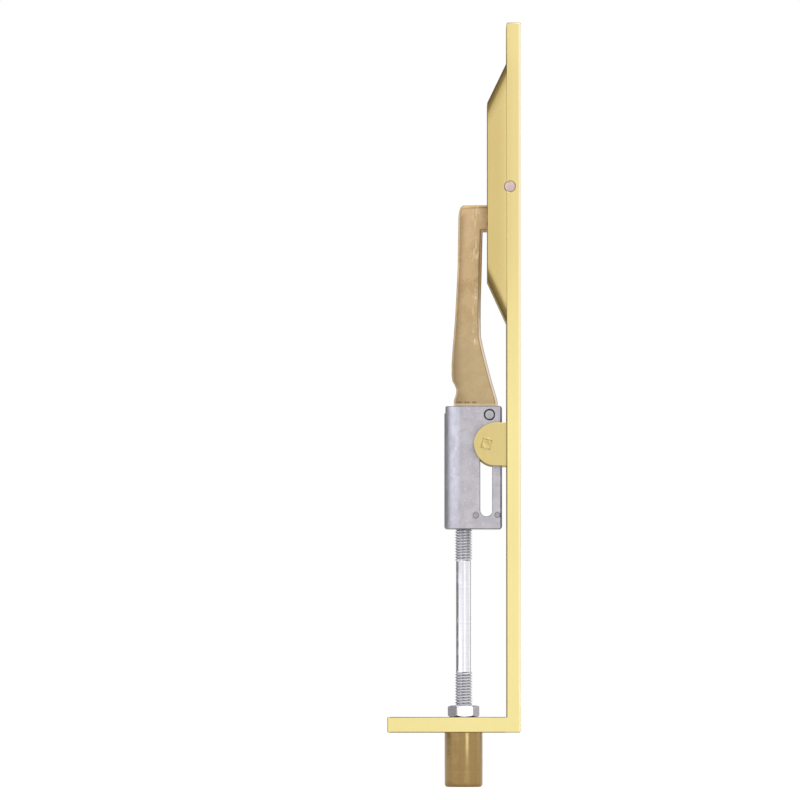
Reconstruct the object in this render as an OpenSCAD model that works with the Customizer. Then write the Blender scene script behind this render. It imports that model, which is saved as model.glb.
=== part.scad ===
// Lever action flush bolt, 203 mm face, brass, with the bolt shot
//
// Frame: X runs across the face, Y runs from the face into the door and Z runs up the face.
// The origin is on the shoot bolt's axis, level with the underside of the foot.
// Depths below are measured from the front of the face, heights from the underside of the foot.

/* [Face plate] */
// Width of the face
face_w = 20; // [18.5:0.5:24]
// Length of the face
face_h = 203; // [202:1:240]
// Thickness of the face
face_t = 4; // [3.6:0.1:4.4]
// Depth of the foot, from the front of the face to its free end
foot_depth = 38.1; // [36:0.1:44]
// Thickness of the foot
foot_t = 4.5; // [3.5:0.1:6]
// Radius of the outer bend between the face and the foot
bend_r = 0.6; // [0.2:0.1:2]
// Radius of the two upper corners of the face
corner_r = 0.5; // [0.2:0.1:2]

/* [Lever recess] */
// Distance from the lever's pivot up to the top of the face
pivot_drop = 47; // [46:0.5:50]
// Width of the two finger pockets
pocket_w = 15.1; // [14.2:0.1:16]
// Half the length of the recess
recess_half = 43.3; // [42.8:0.1:44]
// Half the length of the narrow part of the recess
shoulder_half = 20.6; // [19:0.1:22]
// Depth of the sheer edge at the tip of each finger pocket
lip_depth = 0.3; // [0.2:0.1:0.6]
// Depth of the dished edge at the tip of each finger pocket
dish_depth = 1.1; // [0.8:0.1:1.6]
// Length of the dished edge at the tip of each finger pocket
dish_run = 1.7; // [1:0.1:2.5]
// Half the length of the opening for the arm in the recess floor
opening_half = 14.4; // [13.6:0.1:16]
// Width of the opening for the arm in the recess floor
opening_w = 12; // [11:0.1:12.6]

/* [Recess housing] */
// Width of the housing behind the face
housing_w = 19; // [18:0.1:19.6]
// Depth of the housing's back
housing_depth = 9.5; // [9:0.1:10.4]
// Thickness of the housing's flat floor
floor_t = 1.5; // [1:0.1:1.9]
// Thickness of the housing's two ramps, measured along the depth
ramp_t = 0.95; // [0.7:0.05:1.3]
// Distance from the lever's pivot up to where the upper ramp leaves the face
ramp_top_up = 35.6; // [34.5:0.1:36.6]
// Length of the upper ramp
ramp_top_run = 11.4; // [9:0.1:13]
// Distance from the lever's pivot down to where the lower ramp leaves the face
ramp_low_down = 38.9; // [37.6:0.1:39.6]
// Length of the lower ramp
ramp_low_run = 12; // [9:0.1:13]
// Radius of the long edges of the ramps
ramp_edge_r = 2.3; // [1:0.1:3]

/* [Lever] */
// Width of the lever
lever_w = 11.6; // [10.8:0.1:11.8]
// Thickness of the lever
lever_t = 6.2; // [5.8:0.1:6.4]
// Length of the lever's finger end, from its pivot
lever_long = 24.7; // [22:0.1:26]
// Distance from the lever's pivot to the link pin, half the bolt's travel
crank_r = 9.1; // [8.6:0.1:9.4]
// Radius of the knuckle round the link pin
knuckle_r = 2.7; // [2.2:0.1:2.9]
// Distance by which the lever's face runs on past the link pin
face_past_link = 0.4; // [0:0.1:1]
// Distance from the lever's pivot to the inner end of its slot
slot_from_pivot = 3.8; // [3.2:0.1:4]
// Radius of the lever's edges at its finger end
lever_end_r = 0.6; // [0.2:0.1:1.5]
// Diameter of the pivot pin
pivot_pin_d = 3; // [2.4:0.1:3.4]
// Length by which the pivot pin stops short of the face's width
pivot_pin_short = 0.4; // [0:0.1:0.8]
// Outer diameter of the two pivot washers
washer_d = 5.8; // [4.6:0.1:6]
// Diameter of the link pin
link_pin_d = 2.4; // [1.8:0.1:3]
// Length by which the link pin stops short of the lever's width
link_pin_short = 0.4; // [0.2:0.1:2]

/* [Connecting arm] */
// Thickness of the arm
arm_t = 3; // [2.4:0.1:3.6]
// Depth of the chamfer along the arm's edges
arm_chamfer = 0.9; // [0.4:0.1:1.1]
// Width left flat between the two chamfers of an edge
arm_ridge = 0.9; // [0.6:0.1:1.8]
// Distance from the arm pin back to the arm's lower back corner
heel_back = 10.2; // [9.6:0.1:10.6]
// Distance from the arm pin forward to the arm's lower front corner
toe_front = 2.5; // [2:0.1:3]
// Distance from the arm pin back to the bottom of the arm's waist
waist_back = 9.4; // [8.6:0.1:10]
// Height of the arm's waist above the block
waist_up = 4.7; // [4:0.1:5.4]
// Distance from the arm pin back to the arm's hip, above the waist
hip_back = 10.8; // [10.2:0.1:11.4]
// Height of the hip's lower corner above the block
hip_up = 8.1; // [7.4:0.1:9]
// Height of the hip's upper corner above the block
hip_top_up = 12; // [11:0.1:14]
// Distance from the arm pin back to the bend in the arm's back edge
back_bend = 9.8; // [9.2:0.1:10.2]
// Height of the bend in the arm's back edge above the block
back_bend_up = 25.1; // [20:0.1:30]
// Distance from the arm pin back to the bend in the arm's front edge
front_bend = 2.6; // [2:0.1:3.2]
// Height of the bend in the arm's front edge above the block
front_bend_up = 19.9; // [17:0.1:23]
// Distance from the arm pin back to the front edge under the arm's head
front_top = 2; // [1.6:0.1:2.6]
// Distance from the arm pin back to the back of the arm's head
head_back = 8.7; // [8:0.1:9.4]
// Depth of the cut corner at the top of the arm's head
head_corner_w = 1.1; // [0.8:0.1:1.6]
// Height of the cut corner at the top of the arm's head
head_corner_h = 3.2; // [2.6:0.1:3.6]
// Distance by which the lip under the arm's head reaches into the housing
head_lip = 0.3; // [0.1:0.1:0.6]
// Half the height of the arm's head
head_half = 3.8; // [3.4:0.1:4]
// Radius of the arm's nose
nose_r = 4.4; // [4:0.1:4.6]
// Depth of the tip of the arm's nose
nose_tip = 0.6; // [0.4:0.1:1]
// Distance from the link pin down to the centre of the arm's nose
nose_drop = 0.3; // [0.1:0.1:0.5]
// Thickness of the arm's hooked foot
foot_hook_t = 2.9; // [2.3:0.05:2.95]
// Radius of the arm's hooked foot round the arm pin
foot_hook_r = 2.2; // [2:0.1:2.3]
// Width of the neck that joins the hooked foot to the arm
foot_neck_w = 3.4; // [3:0.1:3.6]

/* [Slider block] */
// Height of the block
block_h = 35.2; // [34.9:0.1:36]
// Width of the block, across its flat sides
block_w = 11; // [10.4:0.1:11.6]
// Depth of the block's flat front
block_front = 5.3; // [4.6:0.1:5.8]
// Radius of the block's edges
block_edge_r = 0.8; // [0.3:0.1:1.2]
// Width of the guide slot through the block
guide_slot_w = 3.5; // [3.3:0.05:4]
// Height of the guide slot's round end above the block's underside
guide_slot_low = 3.6; // [3:0.1:4]
// Spare length of the guide slot below the guide pin, with the bolt drawn
slot_spare = 0.8; // [0.4:0.1:1]
// Spare length of the guide slot above the guide pin, with the bolt shot
slot_head = 0.35; // [0.2:0.05:0.5]
// Depth of the arm pin
arm_pin_depth = 8.9; // [8.6:0.1:9.1]
// Distance from the arm pin to the top of the block
arm_pin_drop = 2.5; // [2.3:0.1:2.6]
// Diameter of the arm pin's two flush heads
arm_pin_head_d = 3; // [2.6:0.1:3.2]
// Thickness of the arm pin's two flush heads
arm_pin_head_t = 0.8; // [0.5:0.1:1.2]
// Diameter of the arm pin's shank
arm_pin_d = 2; // [1.6:0.1:2.2]

/* [Guide ears] */
// Radius of an ear's rounded end
ear_r = 6.2; // [5:0.1:7]
// Depth of the centre of an ear's rounded end
ear_depth = 7.2; // [6.8:0.1:8]
// Thickness of an ear
ear_t = 2.5; // [2:0.1:3.4]
// Depth of the guide pin
guide_pin_depth = 9.8; // [9.6:0.1:10]
// Diameter of the guide pin
guide_pin_d = 3.2; // [2.8:0.05:3.25]
// Length by which each peened end of the guide pin stands out of its ear
peen_h = 0.15; // [0.05:0.05:0.5]

/* [Rod and nut] */
// Thread diameter of the connecting rod
rod_d = 5; // [4.4:0.1:5.4]
// Diameter of the rod's plain shank
shank_d = 4.3; // [3.6:0.1:4.3]
// Length of rod that shows between the foot and the block
rod_show = 53.7; // [50:0.1:53.9]
// Length of the rod's lower thread above the foot
low_thread = 12.7; // [8:0.1:20]
// Length of the rod's upper thread below the block
top_thread = 8.9; // [4:0.1:14]
// Length of thread held in the block
block_hold = 12; // [8:0.5:16]
// Length of thread held in the bolt
bolt_hold = 11.5; // [8:0.5:15]
// Width of the lock nut across its flats
nut_af = 8; // [7:0.1:9]
// Height of the lock nut
nut_h = 3.3; // [2.4:0.1:4]
// Turn of the lock nut about its axis, with one of its flats facing straight left at 0
nut_turn = 6; // [0:1:30]

/* [Shoot bolt] */
// Depth of the bolt's axis behind the front of the face
bolt_backset = 16.3; // [16.1:0.1:16.6]
// Diameter of the bolt
bolt_d = 10.9; // [9.5:0.1:12]
// Length of bolt that stands out below the foot
bolt_out = 15.5; // [12:0.5:22]
// Radius of the bolt's tip edge
tip_r = 0.9; // [0.3:0.1:2]
// Width of the oil groove that the foot hides
groove_w = 0.8; // [0.6:0.1:1.2]
// Depth of the oil groove
groove_cut = 0.3; // [0.2:0.05:0.5]

/* [Fixing holes] */
// Diameter of the screw hole in the foot
foot_screw_d = 4.5; // [3.5:0.1:5]
// Diameter of the countersink in the foot
foot_sink_d = 8.4; // [7:0.1:9]
// Depth of the screw hole in the foot, from the front of the face
foot_screw_depth = 30; // [29:0.1:31]
// Diameter of the screw hole in the recess floor
floor_screw_d = 4; // [3.5:0.1:4.5]
// Diameter of the countersink in the recess floor
floor_sink_d = 5.6; // [5:0.1:6]
// Distance from the lever's pivot up to the screw hole in the recess floor
floor_screw_up = 18; // [17.6:0.1:19]

/* [Fits] */
// Gap between a turning part and its pin
run_gap = 0.05; // [0.02:0.01:0.1]
// Gap round a pin or thread that is held fast
hold_gap = 0.02; // [0.01:0.01:0.05]
// Gap between the bolt and its hole in the foot
bolt_gap = 0.05; // [0.02:0.01:0.1]
// Gap on each side of the arm in a slot
slot_gap = 0.1; // [0.05:0.01:0.2]
// Gap on each side of a washer
washer_gap = 0.05; // [0.02:0.01:0.1]
// Gap between the block and each ear
ear_gap = 0.25; // [0.15:0.05:0.4]
// Gap between the lever and each wall of the narrow recess
lever_gap = 0.55; // [0.45:0.05:0.7]
// Gap kept where one part passes another
pass_gap = 0.2; // [0.1:0.05:0.3]

/* [Hidden] */
$fn = 96;

// Length by which a cut runs on past the surface that it opens
over = 1;
// Length by which the chamfer's cutter runs on past the surfaces that it opens
ring_over = 0.2;
// Length that reaches past the whole object
reach = 400;

// Heights of the lever and its recess, which keep their distance from the top of the face
pivot_z = face_h - pivot_drop;
link_z = pivot_z - crank_r;
ramp_top_z = pivot_z + ramp_top_up;
ramp_low_z = pivot_z - ramp_low_down;

// The bolt's travel is the height of the link pin's half turn
travel = 2 * crank_r;
lever_mid = lever_t / 2;
lever_slot_w = arm_t + 2 * slot_gap;
narrow_w = lever_w + 2 * lever_gap;
floor_depth = housing_depth - floor_t;

// Slopes of the ramps, as height gained for each millimetre of depth
housing_rise = housing_depth - face_t;
top_slope = ramp_top_run / housing_rise;
low_slope = ramp_low_run / housing_rise;
ramp_face_depth = face_t - ramp_t;
inner_rise = floor_depth - ramp_face_depth;

// Heights of the block and of what it carries
block_z = foot_t + rod_show;
block_top = block_z + block_h;
block_back = bolt_backset + block_w / 2;
arm_pin_z = block_top - arm_pin_drop;
guide_pin_z = block_z + guide_slot_low + guide_pin_d / 2 + slot_spare + travel;
guide_slot_top = guide_pin_z + guide_pin_d / 2 + slot_head;
ear_in = block_w / 2 + ear_gap;

// The clevis lets the arm's foot drop by the lag between crank and slider, and swing back by the crank
lag_angle = asin(2 / PI);
lag = crank_r * (lag_angle / 90 - 1 + cos(lag_angle));
clevis_w = arm_t + 2 * slot_gap;
clevis_floor = arm_pin_z - foot_hook_r - lag - pass_gap;
clevis_back = arm_pin_depth + foot_hook_r + crank_r + pass_gap;
arm_base_z = block_top + pass_gap;
notch_floor = arm_base_z - lag - pass_gap;
// Slope at which the pin leaves the arm's hooked foot
hook_angle = atan(2 / PI);

// Moves a shape from depths behind the face to the frame of the bolt's axis
module placed() {
    translate([0, -bolt_backset, 0]) children();
}

// Extrudes an outline of depths and heights across the width, centred on the middle plane
module across(width) {
    rotate([90, 0, 90]) linear_extrude(width, center = true) children();
}

// Extrudes an outline of widths and heights from one depth to another
module through(from, to) {
    translate([0, to, 0]) rotate([90, 0, 0]) linear_extrude(to - from) children();
}

// A round bar or hole across the width, at a depth and a height
module cross_bar(depth, height, dia, width) {
    translate([0, depth, height]) rotate([0, 90, 0]) cylinder(d = dia, h = width, center = true);
}

// The corner piece that a rounding takes off a square corner at the origin
module corner_off(r) {
    difference() {
        translate([-over, -over]) square(r + over);
        translate([r, r]) circle(r);
    }
}

// A rectangle with four rounded corners, from one corner to the other
module rounded_rect(low, high, r) {
    translate([low.x + r, low.y]) square([high.x - low.x - 2 * r, high.y - low.y]);
    translate([low.x, low.y + r]) square([high.x - low.x, high.y - low.y - 2 * r]);
    for (x = [low.x + r, high.x - r], y = [low.y + r, high.y - r])
        translate([x, y]) circle(r);
}

// A flat-ended slot between two heights, as an outline in depth and height
module upright_slot(depth, width, low, high) {
    translate([depth - width / 2, low + width / 2]) square([width, high - low - width]);
    for (z = [low + width / 2, high - width / 2])
        translate([depth, z]) circle(d = width);
}

// Outline of the recess in the front of the face: two round-ended pockets joined by a narrow slot
module recess_outline() {
    pocket_len = recess_half - shoulder_half - pocket_w / 2;
    translate([-narrow_w / 2, pivot_z - shoulder_half - over])
        square([narrow_w, 2 * (shoulder_half + over)]);
    for (side = [-1, 1])
        translate([0, pivot_z + side * (shoulder_half + pocket_len)]) {
            circle(d = pocket_w);
            translate([-pocket_w / 2, side > 0 ? -pocket_len : 0]) square([pocket_w, pocket_len]);
        }
}

// Section of the recess along its middle: dished tips, two ramps and a flat floor
module recess_section() {
    low_tip = pivot_z - recess_half;
    top_tip = pivot_z + recess_half;
    polygon([
        [-over, low_tip - over],
        [lip_depth, low_tip - over],
        [lip_depth, low_tip],
        [dish_depth, low_tip + dish_run],
        [ramp_face_depth, ramp_low_z],
        [floor_depth, ramp_low_z + inner_rise * low_slope],
        [floor_depth, ramp_top_z - inner_rise * top_slope],
        [ramp_face_depth, ramp_top_z],
        [dish_depth, top_tip - dish_run],
        [lip_depth, top_tip],
        [lip_depth, top_tip + over],
        [-over, top_tip + over]
    ]);
}

// Space of the recess, which the face plate and the housing share
module recess() {
    intersection() {
        through(-over, housing_depth) recess_outline();
        across(face_w) recess_section();
    }
}

// Face and foot in one piece, with the recess, the bolt's hole and a screw hole in the foot
module face_plate() {
    color([0.96, 0.89, 0.62]) placed() difference() {
        across(face_w) difference() {
            union() {
                square([face_t, face_h]);
                square([foot_depth, foot_t]);
            }
            corner_off(bend_r);
        }
        for (side = [0, 1])
            mirror([side, 0, 0]) translate([-face_w / 2, 0, face_h]) mirror([0, 0, 1])
                through(-over, face_t + over) corner_off(corner_r);
        recess();
        cross_bar(lever_mid, pivot_z, pivot_pin_d + 2 * hold_gap, face_w + over);
        translate([0, bolt_backset, -over]) cylinder(d = bolt_d + 2 * bolt_gap, h = foot_t + 2 * over);
        translate([0, foot_screw_depth, 0]) countersunk(foot_screw_d, foot_sink_d, foot_t);
    }
}

// Screw hole along Z with its countersink at the origin
module countersunk(dia, sink_dia, depth) {
    sink = (sink_dia - dia) / 2;
    translate([0, 0, -over]) cylinder(d = dia, h = depth + 2 * over);
    rotate_extrude() polygon([
        [0, -over], [sink_dia / 2 + over, -over], [dia / 2, sink], [0, sink]
    ]);
}

// A long block with two rounded edges, whose upper face is the plane of one ramp
module ramp_limit(height, tilt) {
    translate([0, face_t, height]) rotate([-tilt, 0, 0]) translate([0, 0, -reach / 2])
        linear_extrude(reach) {
            translate([-housing_w / 2, -reach]) square([housing_w, reach - ramp_edge_r]);
            translate([ramp_edge_r - housing_w / 2, -reach])
                square([housing_w - 2 * ramp_edge_r, reach]);
            for (side = [-1, 1])
                translate([side * (housing_w / 2 - ramp_edge_r), -ramp_edge_r]) circle(ramp_edge_r);
        }
}

// Housing behind the face: two ramps with rounded long edges, and a floor open for the arm
module lever_pocket() {
    color([0.85, 0.77, 0.54]) placed() difference() {
        intersection() {
            across(housing_w) polygon([
                [face_t, ramp_low_z],
                [housing_depth, ramp_low_z + ramp_low_run],
                [housing_depth, ramp_top_z - ramp_top_run],
                [face_t, ramp_top_z]
            ]);
            ramp_limit(ramp_low_z, atan(1 / low_slope));
            ramp_limit(ramp_top_z, -atan(1 / top_slope));
        }
        recess();
        through(floor_depth - over, housing_depth + over)
            translate([-opening_w / 2, pivot_z - opening_half]) square([opening_w, 2 * opening_half]);
        cross_bar(lever_mid, pivot_z, pivot_pin_d + 2 * hold_gap, face_w + over);
        translate([0, floor_depth, pivot_z + floor_screw_up]) rotate([-90, 0, 0])
            countersunk(floor_screw_d, floor_sink_d, floor_t);
    }
}

// Flip lever with a slot for the arm, flush with the face at both ends of its turn
module flip_lever() {
    slot_end = pivot_z - slot_from_pivot;
    color([0.94, 0.87, 0.59]) placed() difference() {
        intersection() {
            across(lever_w) {
                rounded_rect([0, pivot_z], [lever_t, pivot_z + lever_long], lever_end_r);
                translate([0, link_z - face_past_link]) square([lever_t, 2 * crank_r]);
                translate([lever_mid, link_z]) circle(knuckle_r);
            }
            through(-over, lever_t + over) {
                rounded_rect([-lever_w / 2, pivot_z], [lever_w / 2, pivot_z + lever_long], lever_end_r);
                translate([-lever_w / 2, link_z - reach]) square([lever_w, 2 * crank_r + reach]);
            }
        }
        through(-over, lever_t + over)
            translate([-lever_slot_w / 2, slot_end - reach]) square([lever_slot_w, reach]);
        cross_bar(lever_mid, pivot_z, pivot_pin_d + 2 * run_gap, lever_w + over);
        cross_bar(lever_mid, link_z, link_pin_d + 2 * hold_gap, lever_w + over);
    }
}

// Pin that the lever turns on, held in the face and the housing
module lever_pivot_pin() {
    color([0.77, 0.67, 0.66]) placed()
        cross_bar(lever_mid, pivot_z, pivot_pin_d, face_w - pivot_pin_short);
}

// Thin washer on the pivot pin, between the lever and one wall of the recess
module pivot_washer(side) {
    washer_t = lever_gap - 2 * washer_gap;
    color([0.6, 0.52, 0.3]) placed()
        translate([side * (lever_w / 2 + lever_gap / 2), lever_mid, pivot_z]) rotate([0, 90, 0])
            difference() {
                cylinder(d = washer_d, h = washer_t, center = true);
                cylinder(d = pivot_pin_d + 2 * hold_gap, h = washer_t + over, center = true);
            }
}

// Washer on the left, seen from the front
module pivot_washer_left() {
    pivot_washer(-1);
}

// Washer on the right, seen from the front
module pivot_washer_right() {
    pivot_washer(1);
}

// Pin through the lever's two cheeks and the arm's nose
module link_pin() {
    color([0.7, 0.62, 0.4]) placed()
        cross_bar(lever_mid, link_z, link_pin_d, lever_w - link_pin_short);
}

// Points along an arc of an outline
function arc_points(centre, r, from, to, steps) = [
    for (i = [0 : steps])
        let (a = from + (to - from) * i / steps)
            [centre.x + r * cos(a), centre.y + r * sin(a)]
];

// Outline of the arm above the block in depths and heights, anticlockwise from its lower back corner
function arm_outline() =
    let (
        pin = arm_pin_depth,
        head_top = link_z + head_half,
        head_low = link_z - head_half,
        nose = [nose_tip + nose_r, link_z - nose_drop]
    )
    concat(
        [
            // Shoulder that stands over the block, with a waist and a hip above it
            [pin + heel_back, arm_base_z],
            [pin + waist_back, block_top + waist_up],
            [pin + hip_back, block_top + hip_up],
            [pin + hip_back, block_top + hip_top_up],
            // Back edge and the top of the head
            [pin + back_bend, block_top + back_bend_up],
            [pin + head_back, head_top - head_corner_h],
            [pin + head_back - head_corner_w, head_top],
            [nose.x + nose_r, head_top]
        ],
        // Nose in the lever's slot
        arc_points(nose, nose_r, 90, 270, 12),
        [
            // Lip under the head and the front edge
            [housing_depth - head_lip, head_low],
            [pin + front_top, head_low],
            [pin + front_bend, block_top + front_bend_up],
            [pin - toe_front, arm_base_z]
        ]
    );

function unit(v) = v / norm(v);
function left_of(v) = [-v.y, v.x];

// Moves a corner of an outline inwards, so that both its edges move in by the same distance
function inset(points, i, distance) =
    let (
        n = len(points),
        a = left_of(unit(points[i] - points[(i + n - 1) % n])),
        b = left_of(unit(points[(i + 1) % n] - points[i]))
    )
    points[i] + (a + b) * distance / (1 + a * b);

// Points of an outline, moved in by a distance and set at one place across the width
function ring_at(x, points, distance) = [
    for (i = [0 : len(points) - 1])
        let (p = inset(points, i, distance))
            [x, p.x, p.y]
];

// Ring that takes the chamfer off one side of a slab, all round its outline
module chamfer_ring(points, thickness, ridge, chamfer) {
    n = len(points);
    slope = (thickness - ridge) / 2 / chamfer;
    wide = thickness / 2 + slope * ring_over;
    polyhedron(
        points = concat(
            ring_at(ridge / 2 - slope * ring_over, points, -ring_over),
            ring_at(wide, points, -ring_over),
            ring_at(wide, points, chamfer + ring_over)
        ),
        faces = [
            for (k = [0 : 2], i = [0 : n - 1])
                let (j = (i + 1) % n, near = k * n, far = ((k + 1) % 3) * n)
                    [near + i, far + i, far + j, near + j]
        ],
        convexity = 8
    );
}

// Hooked foot, open towards the face so that it can swing back from the arm pin and return
module hooked_foot() {
    seat_r = arm_pin_d / 2 + 2 * run_gap;
    lip = 1.3 * seat_r;
    out = 2 * foot_hook_r;
    rise = out * tan(hook_angle);
    top = arm_base_z - arm_pin_z + 2 * arm_chamfer;
    across(foot_hook_t) translate([arm_pin_depth, arm_pin_z]) difference() {
        union() {
            circle(foot_hook_r);
            translate([foot_hook_r - foot_neck_w, 0]) square([foot_neck_w, top]);
        }
        circle(seat_r);
        polygon([[0, -lip], [0, lip], [-out, lip + rise], [-out, -lip - rise]]);
    }
}

// Cast arm with chamfered edges, a nose in the lever's slot and a hooked foot in the block
module connecting_arm() {
    color([0.76, 0.65, 0.47]) placed() difference() {
        union() {
            difference() {
                across(arm_t) polygon(arm_outline());
                for (side = [0, 1])
                    mirror([side, 0, 0]) chamfer_ring(arm_outline(), arm_t, arm_ridge, arm_chamfer);
            }
            hooked_foot();
        }
        cross_bar(lever_mid, link_z, link_pin_d + 2 * run_gap, arm_t + over);
    }
}

// Rivet through the block's cheeks and the arm's foot, with flush heads
module arm_pin() {
    color([0.7, 0.7, 0.74]) placed() {
        cross_bar(arm_pin_depth, arm_pin_z, arm_pin_d, block_w - arm_pin_head_t);
        for (side = [-1, 1])
            translate([side * (block_w - arm_pin_head_t) / 2, 0, 0])
                cross_bar(arm_pin_depth, arm_pin_z, arm_pin_head_d, arm_pin_head_t);
    }
}

// Die-cast block with a round back, a clevis for the arm, a guide slot and a threaded end
module slider_block() {
    head_hole = arm_pin_head_d + 2 * hold_gap;
    color([0.74, 0.74, 0.78]) placed() difference() {
        intersection() {
            translate([0, 0, block_z]) linear_extrude(block_h) {
                translate([0, bolt_backset]) circle(d = block_w);
                rounded_rect([-block_w / 2, block_front], [block_w / 2, bolt_backset], block_edge_r);
                translate([-block_w / 2, bolt_backset - block_w / 2])
                    square([block_w, block_w / 2]);
            }
            across(block_w + over)
                rounded_rect([block_front, block_z], [block_back, block_top], block_edge_r);
        }
        across(block_w + over)
            upright_slot(guide_pin_depth, guide_slot_w, block_z + guide_slot_low, guide_slot_top);
        translate([-clevis_w / 2, block_front - over, clevis_floor])
            cube([clevis_w, clevis_back - block_front + over, block_top - clevis_floor + over]);
        translate([-clevis_w / 2, block_front - over, notch_floor])
            cube([clevis_w, block_back - block_front + 2 * over, block_top - notch_floor + over]);
        cross_bar(arm_pin_depth, arm_pin_z, arm_pin_d + 2 * hold_gap, block_w + over);
        for (side = [-1, 1])
            translate([side * (block_w / 2 - arm_pin_head_t / 2 + over / 2), 0, 0])
                cross_bar(arm_pin_depth, arm_pin_z, head_hole, arm_pin_head_t + over);
        translate([0, bolt_backset, block_z - over])
            cylinder(d = rod_d + 2 * hold_gap, h = block_hold + over);
    }
}

// D-shaped ear on the back of the face, which holds one end of the guide pin
module guide_ear(side) {
    color([0.88, 0.81, 0.55]) placed() difference() {
        translate([side * (ear_in + ear_t / 2), 0, 0]) across(ear_t) {
            translate([ear_depth, guide_pin_z]) circle(ear_r);
            translate([face_t, guide_pin_z - ear_r]) square([ear_depth - face_t, 2 * ear_r]);
        }
        translate([-face_w / 2, face_t - ear_r, guide_pin_z - 2 * ear_r])
            cube([face_w, ear_r, 4 * ear_r]);
        cross_bar(guide_pin_depth, guide_pin_z, guide_pin_d + 2 * hold_gap, face_w + over);
    }
}

// Ear on the left, seen from the front
module guide_ear_left() {
    guide_ear(-1);
}

// Ear on the right, seen from the front
module guide_ear_right() {
    guide_ear(1);
}

// Fixed pin that runs in the block's slot, peened over at both ears
module guide_pin() {
    color([0.85, 0.76, 0.5]) placed()
        cross_bar(guide_pin_depth, guide_pin_z, guide_pin_d, 2 * (ear_in + ear_t + peen_h));
}

// Rod with a thread at each end and a plain shank between them
module connecting_rod() {
    low_end = foot_t - bolt_hold;
    color([0.8, 0.8, 0.83]) {
        translate([0, 0, low_end]) cylinder(d = rod_d, h = bolt_hold + low_thread);
        translate([0, 0, foot_t]) cylinder(d = shank_d, h = rod_show);
        translate([0, 0, block_z - top_thread]) cylinder(d = rod_d, h = top_thread + block_hold - over);
    }
}

// Hexagon lock nut with chamfered corners, tight on the bolt's upper end
module lock_nut() {
    corner = nut_af / 2 / cos(30);
    chamfer = (corner - nut_af / 2) * tan(30);
    color([0.82, 0.82, 0.85]) translate([0, 0, foot_t]) rotate([0, 0, nut_turn]) difference() {
        intersection() {
            rotate([0, 0, 30]) cylinder(r = corner, h = nut_h, $fn = 6);
            rotate_extrude() polygon([
                [0, 0], [nut_af / 2, 0], [corner, chamfer],
                [corner, nut_h - chamfer], [nut_af / 2, nut_h], [0, nut_h]
            ]);
        }
        translate([0, 0, -over]) cylinder(d = rod_d + 2 * hold_gap, h = nut_h + 2 * over);
    }
}

// Round bolt with a rounded tip and an oil groove, threaded from above for the rod
module shoot_bolt() {
    bolt_r = bolt_d / 2;
    groove_z = pass_gap / 2;
    color([0.72, 0.6, 0.38]) difference() {
        rotate_extrude() difference() {
            translate([0, -bolt_out]) square([bolt_r, bolt_out + foot_t]);
            translate([bolt_r, -bolt_out]) mirror([1, 0]) corner_off(tip_r);
            translate([bolt_r - groove_cut, groove_z]) square([groove_cut + over, groove_w]);
        }
        translate([0, 0, foot_t - bolt_hold - over])
            cylinder(d = rod_d + 2 * hold_gap, h = bolt_hold + 2 * over);
    }
}

face_plate();
lever_pocket();
flip_lever();
lever_pivot_pin();
pivot_washer_left();
pivot_washer_right();
link_pin();
connecting_arm();
arm_pin();
slider_block();
guide_ear_left();
guide_ear_right();
guide_pin();
connecting_rod();
lock_nut();
shoot_bolt();
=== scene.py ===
"""Lever action flush bolt for the edge of a double door, dressed for a studio picture.

All sizes are in millimetres in the classes and in metres in the scene. The shoot bolt's axis is
the Z axis, the underside of the foot is at zero height, and the face looks along -Y.
"""
import logging
import math
from collections.abc import Callable
from dataclasses import dataclass
from enum import Enum

import bmesh
import bpy
from mathutils import Matrix, Vector


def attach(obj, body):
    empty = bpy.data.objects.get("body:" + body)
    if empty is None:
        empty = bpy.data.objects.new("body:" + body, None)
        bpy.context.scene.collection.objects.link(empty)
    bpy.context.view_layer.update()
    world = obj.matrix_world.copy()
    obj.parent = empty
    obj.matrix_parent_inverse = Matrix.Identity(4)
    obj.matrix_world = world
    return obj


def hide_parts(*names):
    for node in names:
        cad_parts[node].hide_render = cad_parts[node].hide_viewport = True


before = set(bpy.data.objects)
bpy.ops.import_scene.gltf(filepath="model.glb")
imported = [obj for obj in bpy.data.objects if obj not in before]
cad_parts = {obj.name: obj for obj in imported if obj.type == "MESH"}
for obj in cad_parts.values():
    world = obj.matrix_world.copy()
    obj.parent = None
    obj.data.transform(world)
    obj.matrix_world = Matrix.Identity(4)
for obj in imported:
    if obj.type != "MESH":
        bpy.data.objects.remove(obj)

LOG = logging.getLogger("flush_bolt")
MM = 0.001
BACKSET = 16.3
Point = tuple[float, float]
Colour = Way = tuple[float, float, float]
Look = tuple[object, object, object]
AXIS: Point = (0.0, 0.0)


class Body(Enum):
    """The four moving groups of the flush bolt."""

    FACE = "face"
    LEVER = "lever"
    ARM = "arm"
    BOLT = "bolt"


class Effect(Enum):
    """Surface effects that more than one finish uses."""

    # Edge colour for wear and for painted shade along the edges; a pale edge colour paints a
    # highlight.
    EDGE_WEAR_AND_SHADING = "edge wear and painted shading"
    # Darkening near other surfaces: soiling, and painted shade in crevices and between parts.
    CREVICE_DIRT_AND_SHADE = "crevice soiling and painted shade"
    DRAWN_LINES = "drawn lines"
    CAST_GRAIN = "cast grain"
    FINE_SCRATCHES = "fine scratches"
    PITS = "pits"


def srgb(red: int, green: int, blue: int) -> Colour:
    """Turns a colour of 0 to 255 as seen on a screen into the linear colour that a shader takes.

    Args:
        red: Red as seen.
        green: Green as seen.
        blue: Blue as seen.

    Returns:
        The linear colour.
    """

    def channel(seen: int) -> float:
        """Returns one channel in linear light."""
        part = seen / 255
        return part / 12.92 if part <= 0.04045 else ((part + 0.055) / 1.055) ** 2.4

    return channel(red), channel(green), channel(blue)


def from_face(depth: float) -> float:
    """Returns the Y in millimetres of a depth behind the front of the face."""
    return depth - BACKSET


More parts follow.
